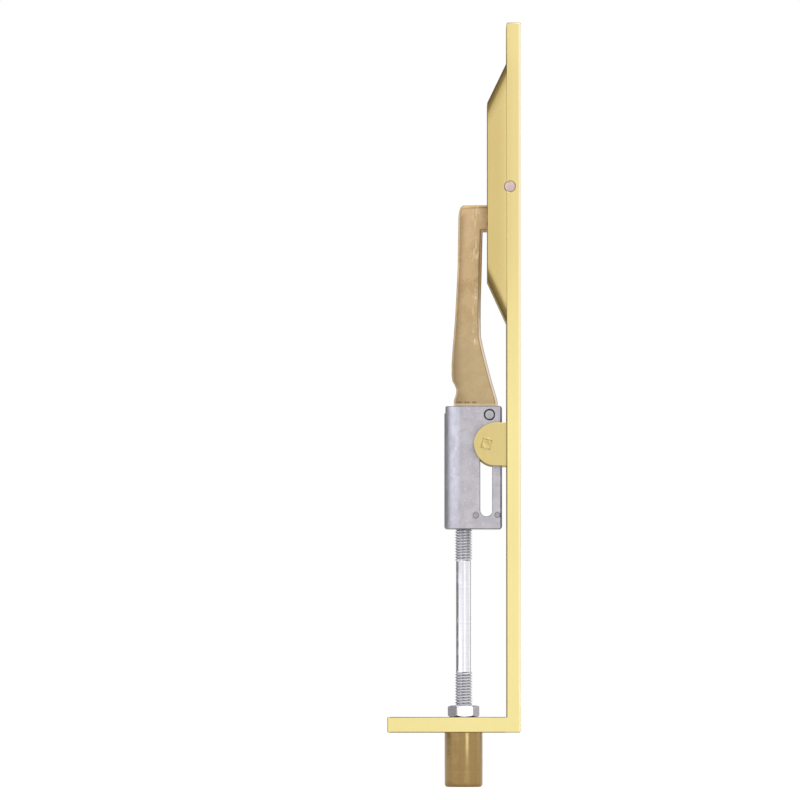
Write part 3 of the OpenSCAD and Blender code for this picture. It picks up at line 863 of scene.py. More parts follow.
@dataclass(frozen=True)
class ArmCasting(CastMetal):
    """Cast brass with painted highlights on its front chamfers and in a band low down, painted
    shade on its outlines, its nose and where it meets the housing, duller towards the block, with
    a row of pits low down.

    Sizes are in millimetres.
    """

    chamfer_highlight: Colour = srgb(238, 220, 202)
    outline_shade: Colour = srgb(112, 84, 56)
    low_tone: Colour = srgb(187, 165, 126)
    low: float = 104.0
    high: float = 132.0
    pit_row: float = 94.55
    row_back: float = 1.9
    row_front: float = -3.5
    streak_back: float = -2.9
    nose_back: float = -7.2
    nose_ridge: Colour = srgb(206, 186, 124)
    nose_side_shade: Colour = srgb(104, 80, 44)
    head_tone: Colour = srgb(222, 192, 148)

    def surface(self, on: Canvas) -> Look:
        """Returns the colour, roughness and height of the arm's brass.

        Args:
            on: The finish's canvas.

        Returns:
            The colour, the roughness and the height.
        """
        colour, rough, height = super().surface(on)
        depth, up = on.depth, on.up
        down = on.remap(up, self.high, self.low)
        colour = on.blend(down * 0.75, colour, self.low_tone)
        colour = on.blend(on.remap(up, 136.0, 143.0, 0.0, 0.55), colour, self.head_tone)
        streaks = on.noise(on.stretch(on.place, (0.3, 1.6, 0.35)), 1.0, 3.0, 0.6)
        streaks = (on.remap(streaks, 0.52, 0.66)
                   * on.between(depth, self.streak_back - 1.6, self.streak_back, 0.5))
        streaks = streaks * on.remap(up, 106.0, 114.0)
        colour = on.blend(streaks * 0.7, colour, self.pale_tone)
        ways = on.ways
        facing = abs(ways[0])
        # Painted highlight on the front chamfers.
        chamfer = on.remap(facing, 0.985, 0.93) * on.remap(facing, 0.3, 0.6)
        chamfer = chamfer * on.remap(ways[1], 0.0, -0.15)
        colour = on.blend(chamfer * 0.75, colour, self.chamfer_highlight)
        # Painted shade: a thin dark line where each chamfer starts, and a dark outline along the
        # ridge.
        thin = on.between(facing, 0.95, 0.985, 0.012)
        colour = on.blend(thin * 0.5, colour, self.outline_shade)
        outline = on.remap(facing, 0.5, 0.25)
        colour = on.blend(outline * 0.6, colour, self.outline_shade)
        off = abs(up - self.pit_row)
        line = on.remap(off, 0.36, 0.1) * on.between(depth, self.row_front, self.row_back, 0.4)
        grain = on.noise(on.stretch(on.place, (1.0, 1.0, 0.4)), 1.9, 1.0)
        pits = line * on.remap(grain, 0.42, 0.54)
        colour = on.blend(pits * 0.8, colour, tuple(part * 0.3 for part in self.dull))
        # Painted highlight: a pale band just below the row of pits.
        pale = on.between(up, self.pit_row - 0.9, self.pit_row - 0.45, 0.15)
        colour = on.blend(pale * 0.45, colour, self.pale_tone)
        # Painted shade on the sides of the nose, lighter along its ridge.
        nose = on.remap(depth, self.nose_back, -8.2) * on.remap(up, 139.5, 141.0)
        tone = on.blend(on.remap(facing, 0.3, 0.6), self.nose_ridge, self.nose_side_shade)
        colour = on.blend(nose, colour, tone)
        # Painted shadow: a dark wavy line where the arm meets the housing.
        wavy = on.noise(on.place, 0.45, 2.0) * 1.1 + depth
        joint = on.between(wavy, self.nose_back + 0.45, self.nose_back + 0.85, 0.12)
        joint = joint * on.remap(up, 142.0, 143.5)
        colour = on.blend(joint * 0.7, colour, self.nose_side_shade)
        return colour, rough, height - pits


@dataclass(frozen=True)
class DieCastZinc(CastMetal):
    """Die-cast zinc with painted shade along its edges, and the marks of two ejector pins.

    Marks are the Y and Z of their middle and their radius, in millimetres.
    """

    marks: tuple[Way, ...] = ()
    disc: Colour = srgb(163, 160, 168)
    halo: Colour = srgb(214, 213, 220)

    def surface(self, on: Canvas) -> Look:
        """Returns the colour, roughness and height of the block's zinc.

        Args:
            on: The finish's canvas.

        Returns:
            The colour, the roughness and the height.
        """
        colour, rough, height = super().surface(on)
        flank = on.remap(abs(on.ways[0]), 0.6, 0.8)
        uneven = (on.noise(on.place, 1.2, 2.0) * 0.8 + 0.5).clamped()
        for depth, up, radius in self.marks:
            away = on.reach((depth, up))
            disc = on.remap(away, radius * 0.72, radius * 0.6) * flank
            colour = on.blend(disc * uneven, colour, self.disc)
            halo = on.between(away, radius * 0.8, radius * 0.98, 0.08) * flank
            colour = on.blend(halo * 0.75, colour, self.halo)
        return colour, rough, height

    def bevels(self, on: Canvas) -> Value | None:
        """Returns a mask of painted shade along the block's top, bottom and front edges.

        Args:
            on: The finish's canvas.

        Returns:
            The mask.
        """
        _, front, up = on.ways
        level = on.between(abs(up), 0.35, 0.9, 0.1)
        upright = on.between(front * -1.0, 0.35, 0.9, 0.1)
        uneven = on.noise(on.place, 0.6, 2.0) * 0.8 + 0.35
        both = on.larger(level, upright)
        return (both * uneven).clamped()


@dataclass(frozen=True)
class TurnedMetal(Finish):
    """Round stock, drawn along Z and turned, with rings and lengthwise lines."""

    rings: float = 0.4
    streaks: float = 0.5

    def surface(self, on: Canvas) -> Look:
        """Returns the colour, roughness and height of drawn and turned metal.

        Args:
            on: The finish's canvas.

        Returns:
            The colour, the roughness and the height.
        """
        long = on.effect(Effect.DRAWN_LINES, Place=on.stretch(on.place, (1.4, 1.4, 0.06)),
                         Amount=self.streaks)
        round_lines = on.effect(Effect.DRAWN_LINES, Place=on.stretch(on.place, (0.05, 0.05, 1.8)),
                                Amount=self.rings)
        marks = on.effect(Effect.FINE_SCRATCHES, Amount=0.5)
        shade = (long["Bands"] + round_lines["Bands"]) * 0.5
        colour = on.blend(shade, self.colour, self.dull)
        both = long["Lines"] + round_lines["Lines"]
        rough = both * 0.1 + (self.roughness - 0.1)
        height = both - marks["Mask"]
        return colour, rough, height

    def bump_strength(self) -> float:
        """Returns how strongly the height shows."""
        return 0.15


@dataclass(frozen=True)
class RivetSteel(TurnedMetal):
    """Steel of a rivet whose flush head has a dark joint round it.

    Sizes are in millimetres.
    """

    middle: Point = (0.0, 0.0)
    joint_r: float = 1.5
    joint_wide: float = 0.3

    def surface(self, on: Canvas) -> Look:
        """Returns the colour, roughness and height of the rivet.

        Args:
            on: The finish's canvas.

        Returns:
            The colour, the roughness and the height.
        """
        colour, rough, height = super().surface(on)
        inner = self.joint_r - self.joint_wide
        joint = on.remap(on.reach(self.middle), inner - 0.08, inner + 0.08)
        uneven = (on.noise(on.place, 1.1, 2.0) * 0.9 + 0.5).clamped()
        joint = joint * uneven
        return (on.blend(joint, colour, self.edge), rough, height)


class Shape:
    """One mesh that is built up in millimetres and becomes a piece of the scene."""

    least_r = 0.02

    def __init__(self) -> None:
        """Starts with an empty mesh."""
        self.mesh = bmesh.new()

    def ring(self, points: list[Way]) -> list[bmesh.types.BMVert]:
        """Adds a ring of corners at some points."""
        return [self.mesh.verts.new(point) for point in points]

    def skin(self, rings: list[list[bmesh.types.BMVert]], closed: bool = False) -> None:
        """Joins rings that have the same number of corners with four-sided faces.

        Args:
            rings: The rings in order.
            closed: True also joins the last ring to the first.
        """
        pairs = list(zip(rings, rings[1:]))
        if closed:
            pairs.append((rings[-1], rings[0]))
        for near, far in pairs:
            count = len(near)
            for i in range(count):
                j = (i + 1) % count
                self.mesh.faces.new((near[i], near[j], far[j], far[i]))

    def cap(self, ring: list[bmesh.types.BMVert]) -> None:
        """Closes a ring with one face."""
        self.mesh.faces.new(ring)

    def close_skin(self, rings: list[list[bmesh.types.BMVert]]) -> None:
        """Joins rings with faces and closes both ends."""
        self.skin(rings)
        for ring in (rings[0], rings[-1]):
            self.cap(ring)

    def lathe(self, profile: list[Point], steps: int = 96) -> None:
        """Turns a profile of radius and height about an upright axis.

        Args:
            profile: Radius and height from the lower middle round to the upper middle.
            steps: Corners in each ring.
        """
        rings = []
        for radius, height in profile:
            radius = radius or self.least_r
            rings.append(self.ring([(x, y, height) for x, y in circle(AXIS, radius, steps)]))
        self.close_skin(rings)

    def copy_of(self, node: str) -> None:
        """Starts from a copy of a CAD node's mesh, with its flat faces made whole."""
        self.mesh.from_mesh(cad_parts[node].data)
        bmesh.ops.scale(self.mesh, vec=(1000.0, 1000.0, 1000.0), verts=self.mesh.verts)
        bmesh.ops.remove_doubles(self.mesh, verts=self.mesh.verts, dist=0.001)
        bmesh.ops.dissolve_limit(self.mesh, angle_limit=math.radians(0.5), verts=self.mesh.verts,
                                 edges=self.mesh.edges)

    def round_where(self, width: float, chosen: Callable[[Vector], bool],
                    segments: int = 3) -> None:
        """Rounds the sharp edges whose middle is chosen.

        Args:
            width: Width of the rounding.
            chosen: Says whether the edge with this middle is rounded.
            segments: Steps in the rounding.
        """
        edges = [edge for edge in self.mesh.edges if len(edge.link_faces) == 2
                 and edge.calc_face_angle() > math.radians(30)
                 and chosen((edge.verts[0].co + edge.verts[1].co) / 2)]
        bmesh.ops.bevel(self.mesh, geom=edges, offset=width, segments=segments, profile=0.5,
                        affect="EDGES", clamp_overlap=False)

    def turn(self, axis: str, degrees: float, about: Way) -> None:
        """Turns all the corners about an axis, X, Y or Z, through a point."""
        bmesh.ops.rotate(self.mesh, cent=about, verts=self.mesh.verts,
                         matrix=Matrix.Rotation(math.radians(degrees), 3, axis))

    def piece(self, name: str, body: Body, material: bpy.types.Material, replaces: str, slot: str,
              rounding: float = 0.0, angle: float = 30.0) -> bpy.types.Object:
        """Finishes the mesh as a piece that stands for a CAD node.

        Args:
            name: The piece's name.
            body: The body that it rides on.
            material: Its material.
            replaces: The CAD node that it stands for.
            slot: Not used.
            rounding: Width of the rounded edges, none at 0.
            angle: Edges sharper than this, in degrees, are edges.

        Returns:
            The new piece.
        """
        bmesh.ops.recalc_face_normals(self.mesh, faces=self.mesh.faces)
        bmesh.ops.scale(self.mesh, vec=(MM, MM, MM), verts=self.mesh.verts)
        data = bpy.data.meshes.new(name)
        self.mesh.to_mesh(data)
        self.mesh.free()
        made = bpy.data.objects.new(name, data)
        bpy.context.collection.objects.link(made)
        data.materials.append(material)
        for face in data.polygons:
            face.use_smooth = True
        if rounding:
            round_edges(made, rounding, angle)
        else:
            data.set_sharp_from_angle(angle=math.radians(angle))
        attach(made, body.value)
        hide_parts(replaces)
        return made


def round_edges(made: bpy.types.Object, width: float, angle: float = 30.0,
                segments: int = 2) -> None:
    """Rounds the sharp edges of a piece with modifiers, which leave its mesh as it is.

    Args:
        made: The piece.
        width: Width of the rounding in millimetres.
        angle: Edges sharper than this, in degrees, are rounded.
        segments: Steps in the rounding.
    """
    made.modifiers.new("Joined corners", "WELD").merge_threshold = 0.001 * MM
    whole = made.modifiers.new("Whole faces", "DECIMATE")
    whole.decimate_type = "DISSOLVE"
    whole.angle_limit = math.radians(0.5)
    edge = made.modifiers.new("Rounded edges", "BEVEL")
    edge.width = width * MM
    edge.segments = segments
    edge.limit_method = "ANGLE"
    edge.angle_limit = math.radians(angle)
    edge.use_clamp_overlap = False
    edge.harden_normals = False
    even = made.modifiers.new("Even shading", "WEIGHTED_NORMAL")
    even.keep_sharp = False
    even.weight = 60


def dress(node: str, material: bpy.types.Material, rounding: float, angle: float = 30.0,
          segments: int = 2) -> bpy.types.Object:
    """Gives a CAD node its material and rounded edges.

    Args:
        node: The node's name.
        material: Its material.
        rounding: Width of the rounded edges in millimetres.
        angle: Edges sharper than this, in degrees, are rounded.
        segments: Steps in the rounding.

    Returns:
        The node's object.
    """
    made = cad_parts[node]
    made.data.materials.clear()
    made.data.materials.append(material)
    round_edges(made, rounding, angle, segments)
    return made


def report(made: bpy.types.Object) -> None:
    """Logs a piece's name, its number of faces and its size."""
    size = [round(part * 1000, 1) for part in made.dimensions]
    LOG.info("%s: %d faces, %s mm", made.name, len(made.data.polygons), size)


@dataclass
class FaceAndPocket:
    """The face with its foot, and the housing with the recess behind it.

    Sizes are in millimetres.
    """

    half_width: float = 10.0
    top: float = 203.0
    thick: float = 4.0
    housing_half: float = 9.5
    housing_back: float = 9.5
    face_edge: float = 0.36
    housing_edge: float = 0.15

    def on_outline(self, middle: Vector) -> bool:
        """Says whether a point is on the outer edges of the face or the foot."""
        depth = middle.y + BACKSET
        return (abs(middle.x) > self.half_width - 0.7 or middle.z > self.top - 0.1
                or middle.z < 0.1 or depth > self.thick + 0.1)

    def on_housing(self, middle: Vector) -> bool:
        """Says whether a point is on the housing's outer edges, clear of the face."""
        depth = middle.y + BACKSET
        outer = abs(middle.x) > self.housing_half - 0.2 or depth > self.housing_back - 0.1
        return outer and depth > self.thick + 0.1

    def build(self, shelf: EffectShelf) -> list[bpy.types.Object]:
        """Builds the face and the housing from their CAD meshes, with rounded edges.

        Reflections leave out the face, which would show as a wide yellow band on the rod.

        Args:
            shelf: The shared effects.

        Returns:
            The pieces.
        """
        face = FaceBrass("face brass", srgb(249, 233, 162), srgb(244, 227, 156), 0.2,
                         edge=srgb(118, 97, 54), edge_width=0.26, edge_amount=0.4, dirt_and_shade=0.15,
                         dirt_and_shade_reach=0.8, scratches=0.15, lines=0.4).material(shelf)
        housing = HousingBrass("pocket brass", srgb(219, 197, 133), srgb(212, 189, 126), 0.26,
                               edge=srgb(140, 118, 68), edge_amount=0.3, lines=0.6, pits=0.2,
                               dirt_and_shade=0.1, dirt_and_shade_reach=1.0).material(shelf)
        plate, pocket = Shape(), Shape()
        plate.copy_of("face_plate")
        plate.round_where(self.face_edge, self.on_outline)
        pocket.copy_of("lever_pocket")
        pocket.round_where(self.housing_edge, self.on_housing)
        made = [plate.piece("face_edged", Body.FACE, face, "face_plate", "face_brass", angle=40),
                pocket.piece("housing_edged", Body.FACE, housing, "lever_pocket", "pocket_brass",
                             angle=40)]
        for piece in made:
            piece.modifiers.new("Even shading", "WEIGHTED_NORMAL").keep_sharp = True
        made[0].visible_glossy = False
        return made


@dataclass
class LeverSet:
    """The lever, its pivot pin and washers, and the pin that carries the arm.

    Sizes are in millimetres.
    """

    pin_r: float = 1.5
    pin_long: float = 19.6
    pin_depth: float = 3.1
    pin_up: float = 156.0
    pin_chamfer: float = 0.2
    lever_half: float = 5.8
    cheek_out: float = 0.14
    seat_half: float = 3.05

    def lever(self, brass: bpy.types.Material) -> bpy.types.Object:
        """Builds the lever from its CAD mesh, a little wider beyond the seats of the washers.

        Args:
            brass: Its material.

        Returns:
            The lever.
        """
        shape = Shape()
        shape.copy_of("flip_lever")
        for side in (-1, 1):
            for step in (self.seat_half, self.seat_half + 0.15):
                parts = shape.mesh.verts[:] + shape.mesh.edges[:] + shape.mesh.faces[:]
                bmesh.ops.bisect_plane(shape.mesh, geom=parts, plane_no=(0, 0, 1),
                                       plane_co=(0, 0, self.pin_up + side * step))
        for corner in shape.mesh.verts:
            away = abs(corner.co.z - self.pin_up)
            if abs(corner.co.x) > self.lever_half - 0.01 and away > self.seat_half + 0.1:
                corner.co.x += math.copysign(self.cheek_out, corner.co.x)
        return shape.piece("lever_cheeked", Body.LEVER, brass, "flip_lever", "lever_brass",
                           rounding=0.25)

    def build(self, shelf: EffectShelf) -> list[bpy.types.Object]:
        """Builds the lever, dresses the washers and turns the pivot pin.

        Args:
            shelf: The shared effects.

        Returns:
            The pieces.
        """
        lever = LeverBrass("lever brass", srgb(243, 227, 159), srgb(238, 220, 153), 0.22,
                           edge=srgb(160, 136, 80), edge_width=0.3, edge_amount=0.45, dirt_and_shade=0.6,
                           dirt_and_shade_reach=0.9, lines=0.4).material(shelf)
        washer = Finish("washer brass", srgb(168, 140, 82), srgb(120, 98, 55), 0.4).material(shelf)
        link = TurnedMetal("pin brass", srgb(190, 165, 105), srgb(150, 124, 72),
                           0.3).material(shelf)
        made = [self.lever(lever)]
        for side in ("left", "right"):
            made.append(dress(f"pivot_washer_{side}", washer, 0.08))
        made.append(dress("link_pin", link, 0.12))
        made.append(self.pivot_pin(shelf))
        return made

    def pivot_pin(self, shelf: EffectShelf) -> bpy.types.Object:
        """Turns the pivot pin with chamfered ends.

        Args:
            shelf: The shared effects.

        Returns:
            The pin.
        """
        steel = TurnedMetal("pin steel", srgb(226, 204, 201), srgb(204, 180, 177), 0.32,
                            edge=srgb(120, 98, 78), rings=0.8, dirt_and_shade=0.2).material(shelf)
        half = self.pin_long / 2
        small = self.pin_r - self.pin_chamfer
        shape = Shape()
        shape.lathe([(0, -half), (small * 0.45, -half), (small, -half + 0.02),
                     (self.pin_r, -half + self.pin_chamfer), (self.pin_r, half - self.pin_chamfer),
                     (small, half - 0.02), (small * 0.45, half), (0, half)], 48)
        shape.turn("Y", 90, (0, 0, 0))
        bmesh.ops.translate(shape.mesh, verts=shape.mesh.verts,
                            vec=(0, from_face(self.pin_depth), self.pin_up))
        return shape.piece("pivot_pin_turned", Body.FACE, steel, "lever_pivot_pin", "pin_steel",
                           angle=25)


@dataclass
class ConnectingArm:
    """The cast arm, with chamfered edges and a nose like a pencil's.

    Sizes are in millimetres; outline points are depth and height.
    """

    half_thick: float = 1.5
    half_ridge: float = 0.8
    chamfer: float = 0.9
    back_chamfer: float = 0.4
    nose_chamfer: float = 2.3
    nose_depth: float = 5.0
    nose_up: float = 146.6
    nose_r: float = 4.4
    bore_depth: float = 3.1
    bore_up: float = 146.9
    bore_r: float = 1.25
    hook_depth: float = 8.9
    hook_up: float = 90.9
    hook_r: float = 2.2
    hook_long: float = 2.2
    seat_r: float = 1.1
    hook_half: float = 1.45
    foot_up: float = 94.0

    def outline(self) -> list[Point]:
        """Returns the arm's outline, from the heel up its back, over the nose and down."""
        back = [(19.1, 93.45), (19.0, 95.3), (18.45, 97.0), (18.3, 98.2), (18.75, 99.4),
                (19.5, 100.8), (19.7, 102.6), (19.7, 105.4), (19.4, 110.0), (18.7, 118.5),
                (18.3, 126.0), (17.95, 133.4), (17.85, 140.5), (17.75, 147.5), (17.55, 149.2),
                (17.15, 150.5), (16.4, 151.1), (13.0, 151.15), (9.4, 151.15), (7.2, 151.1)]
        nose = arc((self.nose_depth, self.nose_up), self.nose_r, 90, 270, 14)
        front = [(6.6, 142.5), (8.2, 143.1), (9.5, 143.4), (10.8, 143.4), (11.0, 136.0),
                 (11.2, 128.0), (11.35, 123.6), (11.4, 118.0), (11.3, 113.3), (10.5, 109.6),
                 (9.5, 105.6), (8.4, 101.3), (7.7, 98.9), (7.1, 96.9), (6.6, 95.0), (6.4, 93.45)]
        return back + nose + front

    def inward(self, points: list[Point], i: int) -> Point:
        """Returns the way into the arm at one corner of the outline.

        Args:
            points: The outline.
            i: Which corner.

        Returns:
            Depth and height of a step of one millimetre inward.
        """
        before, here, after = points[i - 1], points[i], points[(i + 1) % len(points)]
        ways = []
        for start, end in ((before, here), (here, after)):
            run, rise = end[0] - start[0], end[1] - start[1]
            size = math.hypot(run, rise)
            ways.append((-rise / size, run / size))
        across = (ways[0][0] + ways[1][0], ways[0][1] + ways[1][1])
        size = across[0] ** 2 + across[1] ** 2
        return 2 * across[0] / size, 2 * across[1] / size

    def shell(self, shape: Shape) -> None:
        """Adds the arm's body, from the ridge over the chamfers to its two sides.

        Args:
            shape: The mesh to add to.
        """
        points = self.outline()
        seat = self.bore_r + 0.2
        steps = ((0.0, 0.0), (0.04, 0.6), (0.13, 0.76), (0.5, 0.88), (0.9, 0.98), (1.1, 1.0))
        ways = [self.inward(points, i) for i in range(len(points))]
        ways = [(way[0], 0.0) if point[1] < self.foot_up else way
                for point, way in zip(points, ways)]
        edges = {}
        for side in (-1, 1):
            rings = []
            for inset, reach in steps:
                ring = []
                for (depth, up), way in zip(points, ways):
                    near = min(1.0, max(0.0, (9.0 - depth) / 4.0)) if up > 140 else 0.0
                    cut = self.back_chamfer if way[0] < -0.5 else self.chamfer
                    cut += (self.nose_chamfer - cut) * near
                    cut = min(cut, (math.dist((depth, up), (self.bore_depth, self.bore_up)) - seat)
                              / steps[-1][0])
                    wide = (self.half_ridge + (self.half_thick - self.half_ridge)
                            * ((reach - 0.5) * 2 if reach > 0.5 else 0))
                    if reach == 0.0:
                        wide = self.half_ridge * 0.55
                    ring.append((side * wide, from_face(depth + way[0] * inset * cut),
                                 up + way[1] * inset * cut))
                rings.append(shape.ring(ring))
            shape.skin(rings)
            edges[side] = rings
            self.side(shape, rings[-1], side)
        near, far = edges[-1][0], edges[1][0]
        shape.skin([near, far])

    def side(self, shape: Shape, rim: list[bmesh.types.BMVert], side: int) -> None:
        """Fills one flat side of the arm round the bore for the link pin.

        Args:
            shape: The mesh to add to.
            rim: The corners round the side.
            side: -1 or 1.
        """
        bore = shape.ring([(side * self.half_thick, from_face(depth), up) for depth, up
                           in circle((self.bore_depth, self.bore_up), self.bore_r, 24)])
        lines = []
        for loop in (rim, bore):
            for i, corner in enumerate(loop):
                other = loop[(i + 1) % len(loop)]
                line = shape.mesh.edges.get((corner, other))
                lines.append(line or shape.mesh.edges.new((corner, other)))
        bmesh.ops.triangle_fill(shape.mesh, use_beauty=True, edges=lines)
        inner = shape.ring([(0.0, corner.co.y, corner.co.z) for corner in bore])
        shape.skin([bore, inner])

    def hook(self, shape: Shape) -> None:
        """Adds the hooked foot that rests on the rivet.

        Args:
            shape: The mesh to add to.
        """
        points = [(self.hook_depth + self.hook_long, 95.4), (self.hook_depth - 1.2, 95.4),
                  (self.hook_depth - 1.2, 93.0)]
        rivet = (self.hook_depth, self.hook_up)
        points += arc(rivet, self.hook_r, 145, 260, 12) + arc(rivet, self.seat_r, 262, 90, 12)
        points.append((self.hook_depth + self.hook_long, self.hook_up + self.seat_r))
        rings = [shape.ring([(side * self.hook_half, from_face(depth), up)
                             for depth, up in points]) for side in (-1, 1)]
        shape.close_skin(rings)

    def build(self, shelf: EffectShelf) -> list[bpy.types.Object]:
        """Builds the arm.

        Args:
            shelf: The shared effects.

        Returns:
            The arm alone.
        """
        brass = ArmCasting("cast brass", srgb(204, 175, 132), srgb(190, 161, 119), 0.4,
                           pale_tone=srgb(236, 218, 184), scale=0.55, specks=0.25, bump=0.2, pits=0.2,
                           strokes=0.75, scratches=0.8, edge=srgb(104, 78, 48), edge_width=0.16,
                           edge_amount=0.4, dirt_and_shade=0.12, dirt_and_shade_reach=0.6).material(shelf)
        shape = Shape()
        self.shell(shape)
        self.hook(shape)
        return [shape.piece("arm_casting", Body.ARM, brass, "connecting_arm", "cast_brass",
                            angle=28)]


@dataclass
class SliderSet:
    """The zinc block with its rivet.

    Sizes are in millimetres; marks are the depth, height and radius of the ejector marks.
    """

    half_width: float = 5.5
    marks: tuple[Way, ...] = ((12.86, 62.1, 1.0), (6.66, 62.2, 0.92))
    mark_high: float = 0.04
    rivet_depth: float = 8.9
    rivet_up: float = 90.9

    def mark(self, shape: Shape, depth: float, up: float, radius: float) -> None:
        """Adds the round mark of an ejector pin, with a raised rim.

        Args:
            shape: The mesh to add to.
            depth: Depth of its middle behind the face.
            up: Height of its middle.
            radius: Radius of its rim.
        """
        steps = ((1.0, -0.05), (0.97, 0.6), (0.86, 1.0), (0.76, 0.5), (0.7, 0.12), (0.35, 0.1))
        middle = (from_face(depth), up)
        rings = [shape.ring([(-self.half_width - high * self.mark_high, y, z)
                             for y, z in circle(middle, radius * part, 32)])
                 for part, high in steps]
        shape.skin(rings)
        shape.cap(rings[-1])

    def build(self, shelf: EffectShelf) -> list[bpy.types.Object]:
        """Builds the block and dresses the rivet.

        Args:
            shelf: The shared effects.

        Returns:
            The pieces.
        """
        marks = tuple((from_face(depth), up, radius) for depth, up, radius in self.marks)
        rivet = (from_face(self.rivet_depth), self.rivet_up)
        zinc = DieCastZinc("die cast zinc", srgb(196, 192, 197), srgb(185, 180, 186), 0.32,
                           pale_tone=srgb(222, 221, 228), scale=0.5, specks=0.35, bump=0.12, pits=0.2,
                           scratches=0.6, edge=srgb(84, 80, 86), edge_width=0.24, edge_amount=0.6,
                           dirt_and_shade=0.45, dirt_and_shade_reach=0.8, marks=marks).material(shelf)
        steel = RivetSteel("rivet steel", srgb(190, 188, 193), srgb(174, 172, 178), 0.34,
                           edge=srgb(64, 62, 66), edge_width=0.15, edge_amount=0.6,
                           dirt_and_shade_reach=0.4, dirt_and_shade=0.8, middle=rivet).material(shelf)
        block = Shape()
        block.copy_of("slider_block")
        for depth, up, radius in self.marks:
            self.mark(block, depth, up, radius)
        made = [block.piece("block_casting", Body.BOLT, zinc, "slider_block", "die_cast_zinc",
                            rounding=0.25)]
        made.append(dress("arm_pin", steel, 0.12))
        return made


@dataclass
class GuideSet:
    """The two ears on the back of the face and the pin across them.

    Sizes are in millimetres.
    """

    pin_depth: float = 9.8
    pin_up: float = 82.4
    pin_r: float = 1.6
    half_long: float = 8.4
    ear_out: float = 8.25
    head_r: float = 1.98
    stake_half: float = 1.34
    stake_turn: float = 15.0

    def build(self, shelf: EffectShelf) -> list[bpy.types.Object]:
        """Dresses the ears and builds the peened pin.

        Args:
            shelf: The shared effects.

        Returns:
            The pieces.
        """
        brass = EarBrass("ear brass", srgb(222, 202, 137), srgb(214, 193, 129), 0.26,
                         edge=srgb(150, 126, 72), edge_width=0.2, edge_amount=0.5, pits=0.1,
                         dirt_and_shade=0.9, dirt_and_shade_reach=1.6).material(shelf)
        staked = StakedBrass("staked brass", srgb(222, 202, 137), srgb(214, 193, 129), 0.26,
                             edge=srgb(140, 117, 64), edge_width=0.12, edge_amount=0.2, dirt_and_shade=0.15,
                             middle=(from_face(self.pin_depth), self.pin_up), half=self.stake_half,
                             turn=self.stake_turn).material(shelf)
        made = [dress(f"guide_ear_{side}", brass, 0.2) for side in ("left", "right")]
        shape = Shape()
        self.peened_pin(shape)
        made.append(shape.piece("guide_pin_peened", Body.FACE, staked, "guide_pin", "ear_brass",
                                angle=32))
        return made

    def peened_pin(self, shape: Shape) -> None:
        """Adds the pin, staked square over the ear at each end.

        Args:
            shape: The mesh to add to.
        """
        steps = 64
        middle = (from_face(self.pin_depth), self.pin_up)
        high = self.half_long - self.ear_out
        round_head = self.head_r / self.pin_r
        crown = [(0.15, True, high * 0.5), (0.5, True, high * 0.55), (0.7, True, high),
                 (0.86, True, high * 0.95), (0.96, True, high * 0.6), (1.0, True, 0.05),
                 (round_head, False, 0.04), (round_head + 0.03, False, 0.0),
                 (round_head, False, -0.05)]
        profile = [(part, square, -self.ear_out - up) for part, square, up in crown]
        profile += [(1.0, False, -self.ear_out + 0.4), (1.0, False, self.ear_out - 0.4)]
        profile += [(part, square, self.ear_out + up) for part, square, up in reversed(crown)]
        rings = []
        for part, square, along in profile:
            ring = []
            for i in range(steps):
                degrees = 360 * i / steps
                corner = math.radians((degrees - self.stake_turn) % 90 - 45)
                side = min(self.stake_half / math.cos(corner), self.stake_half * 1.4)
                radius = part * (side if square else self.pin_r)
                ring.append((along, *around(middle, radius, degrees)))
            rings.append(shape.ring(ring))
        shape.close_skin(rings)


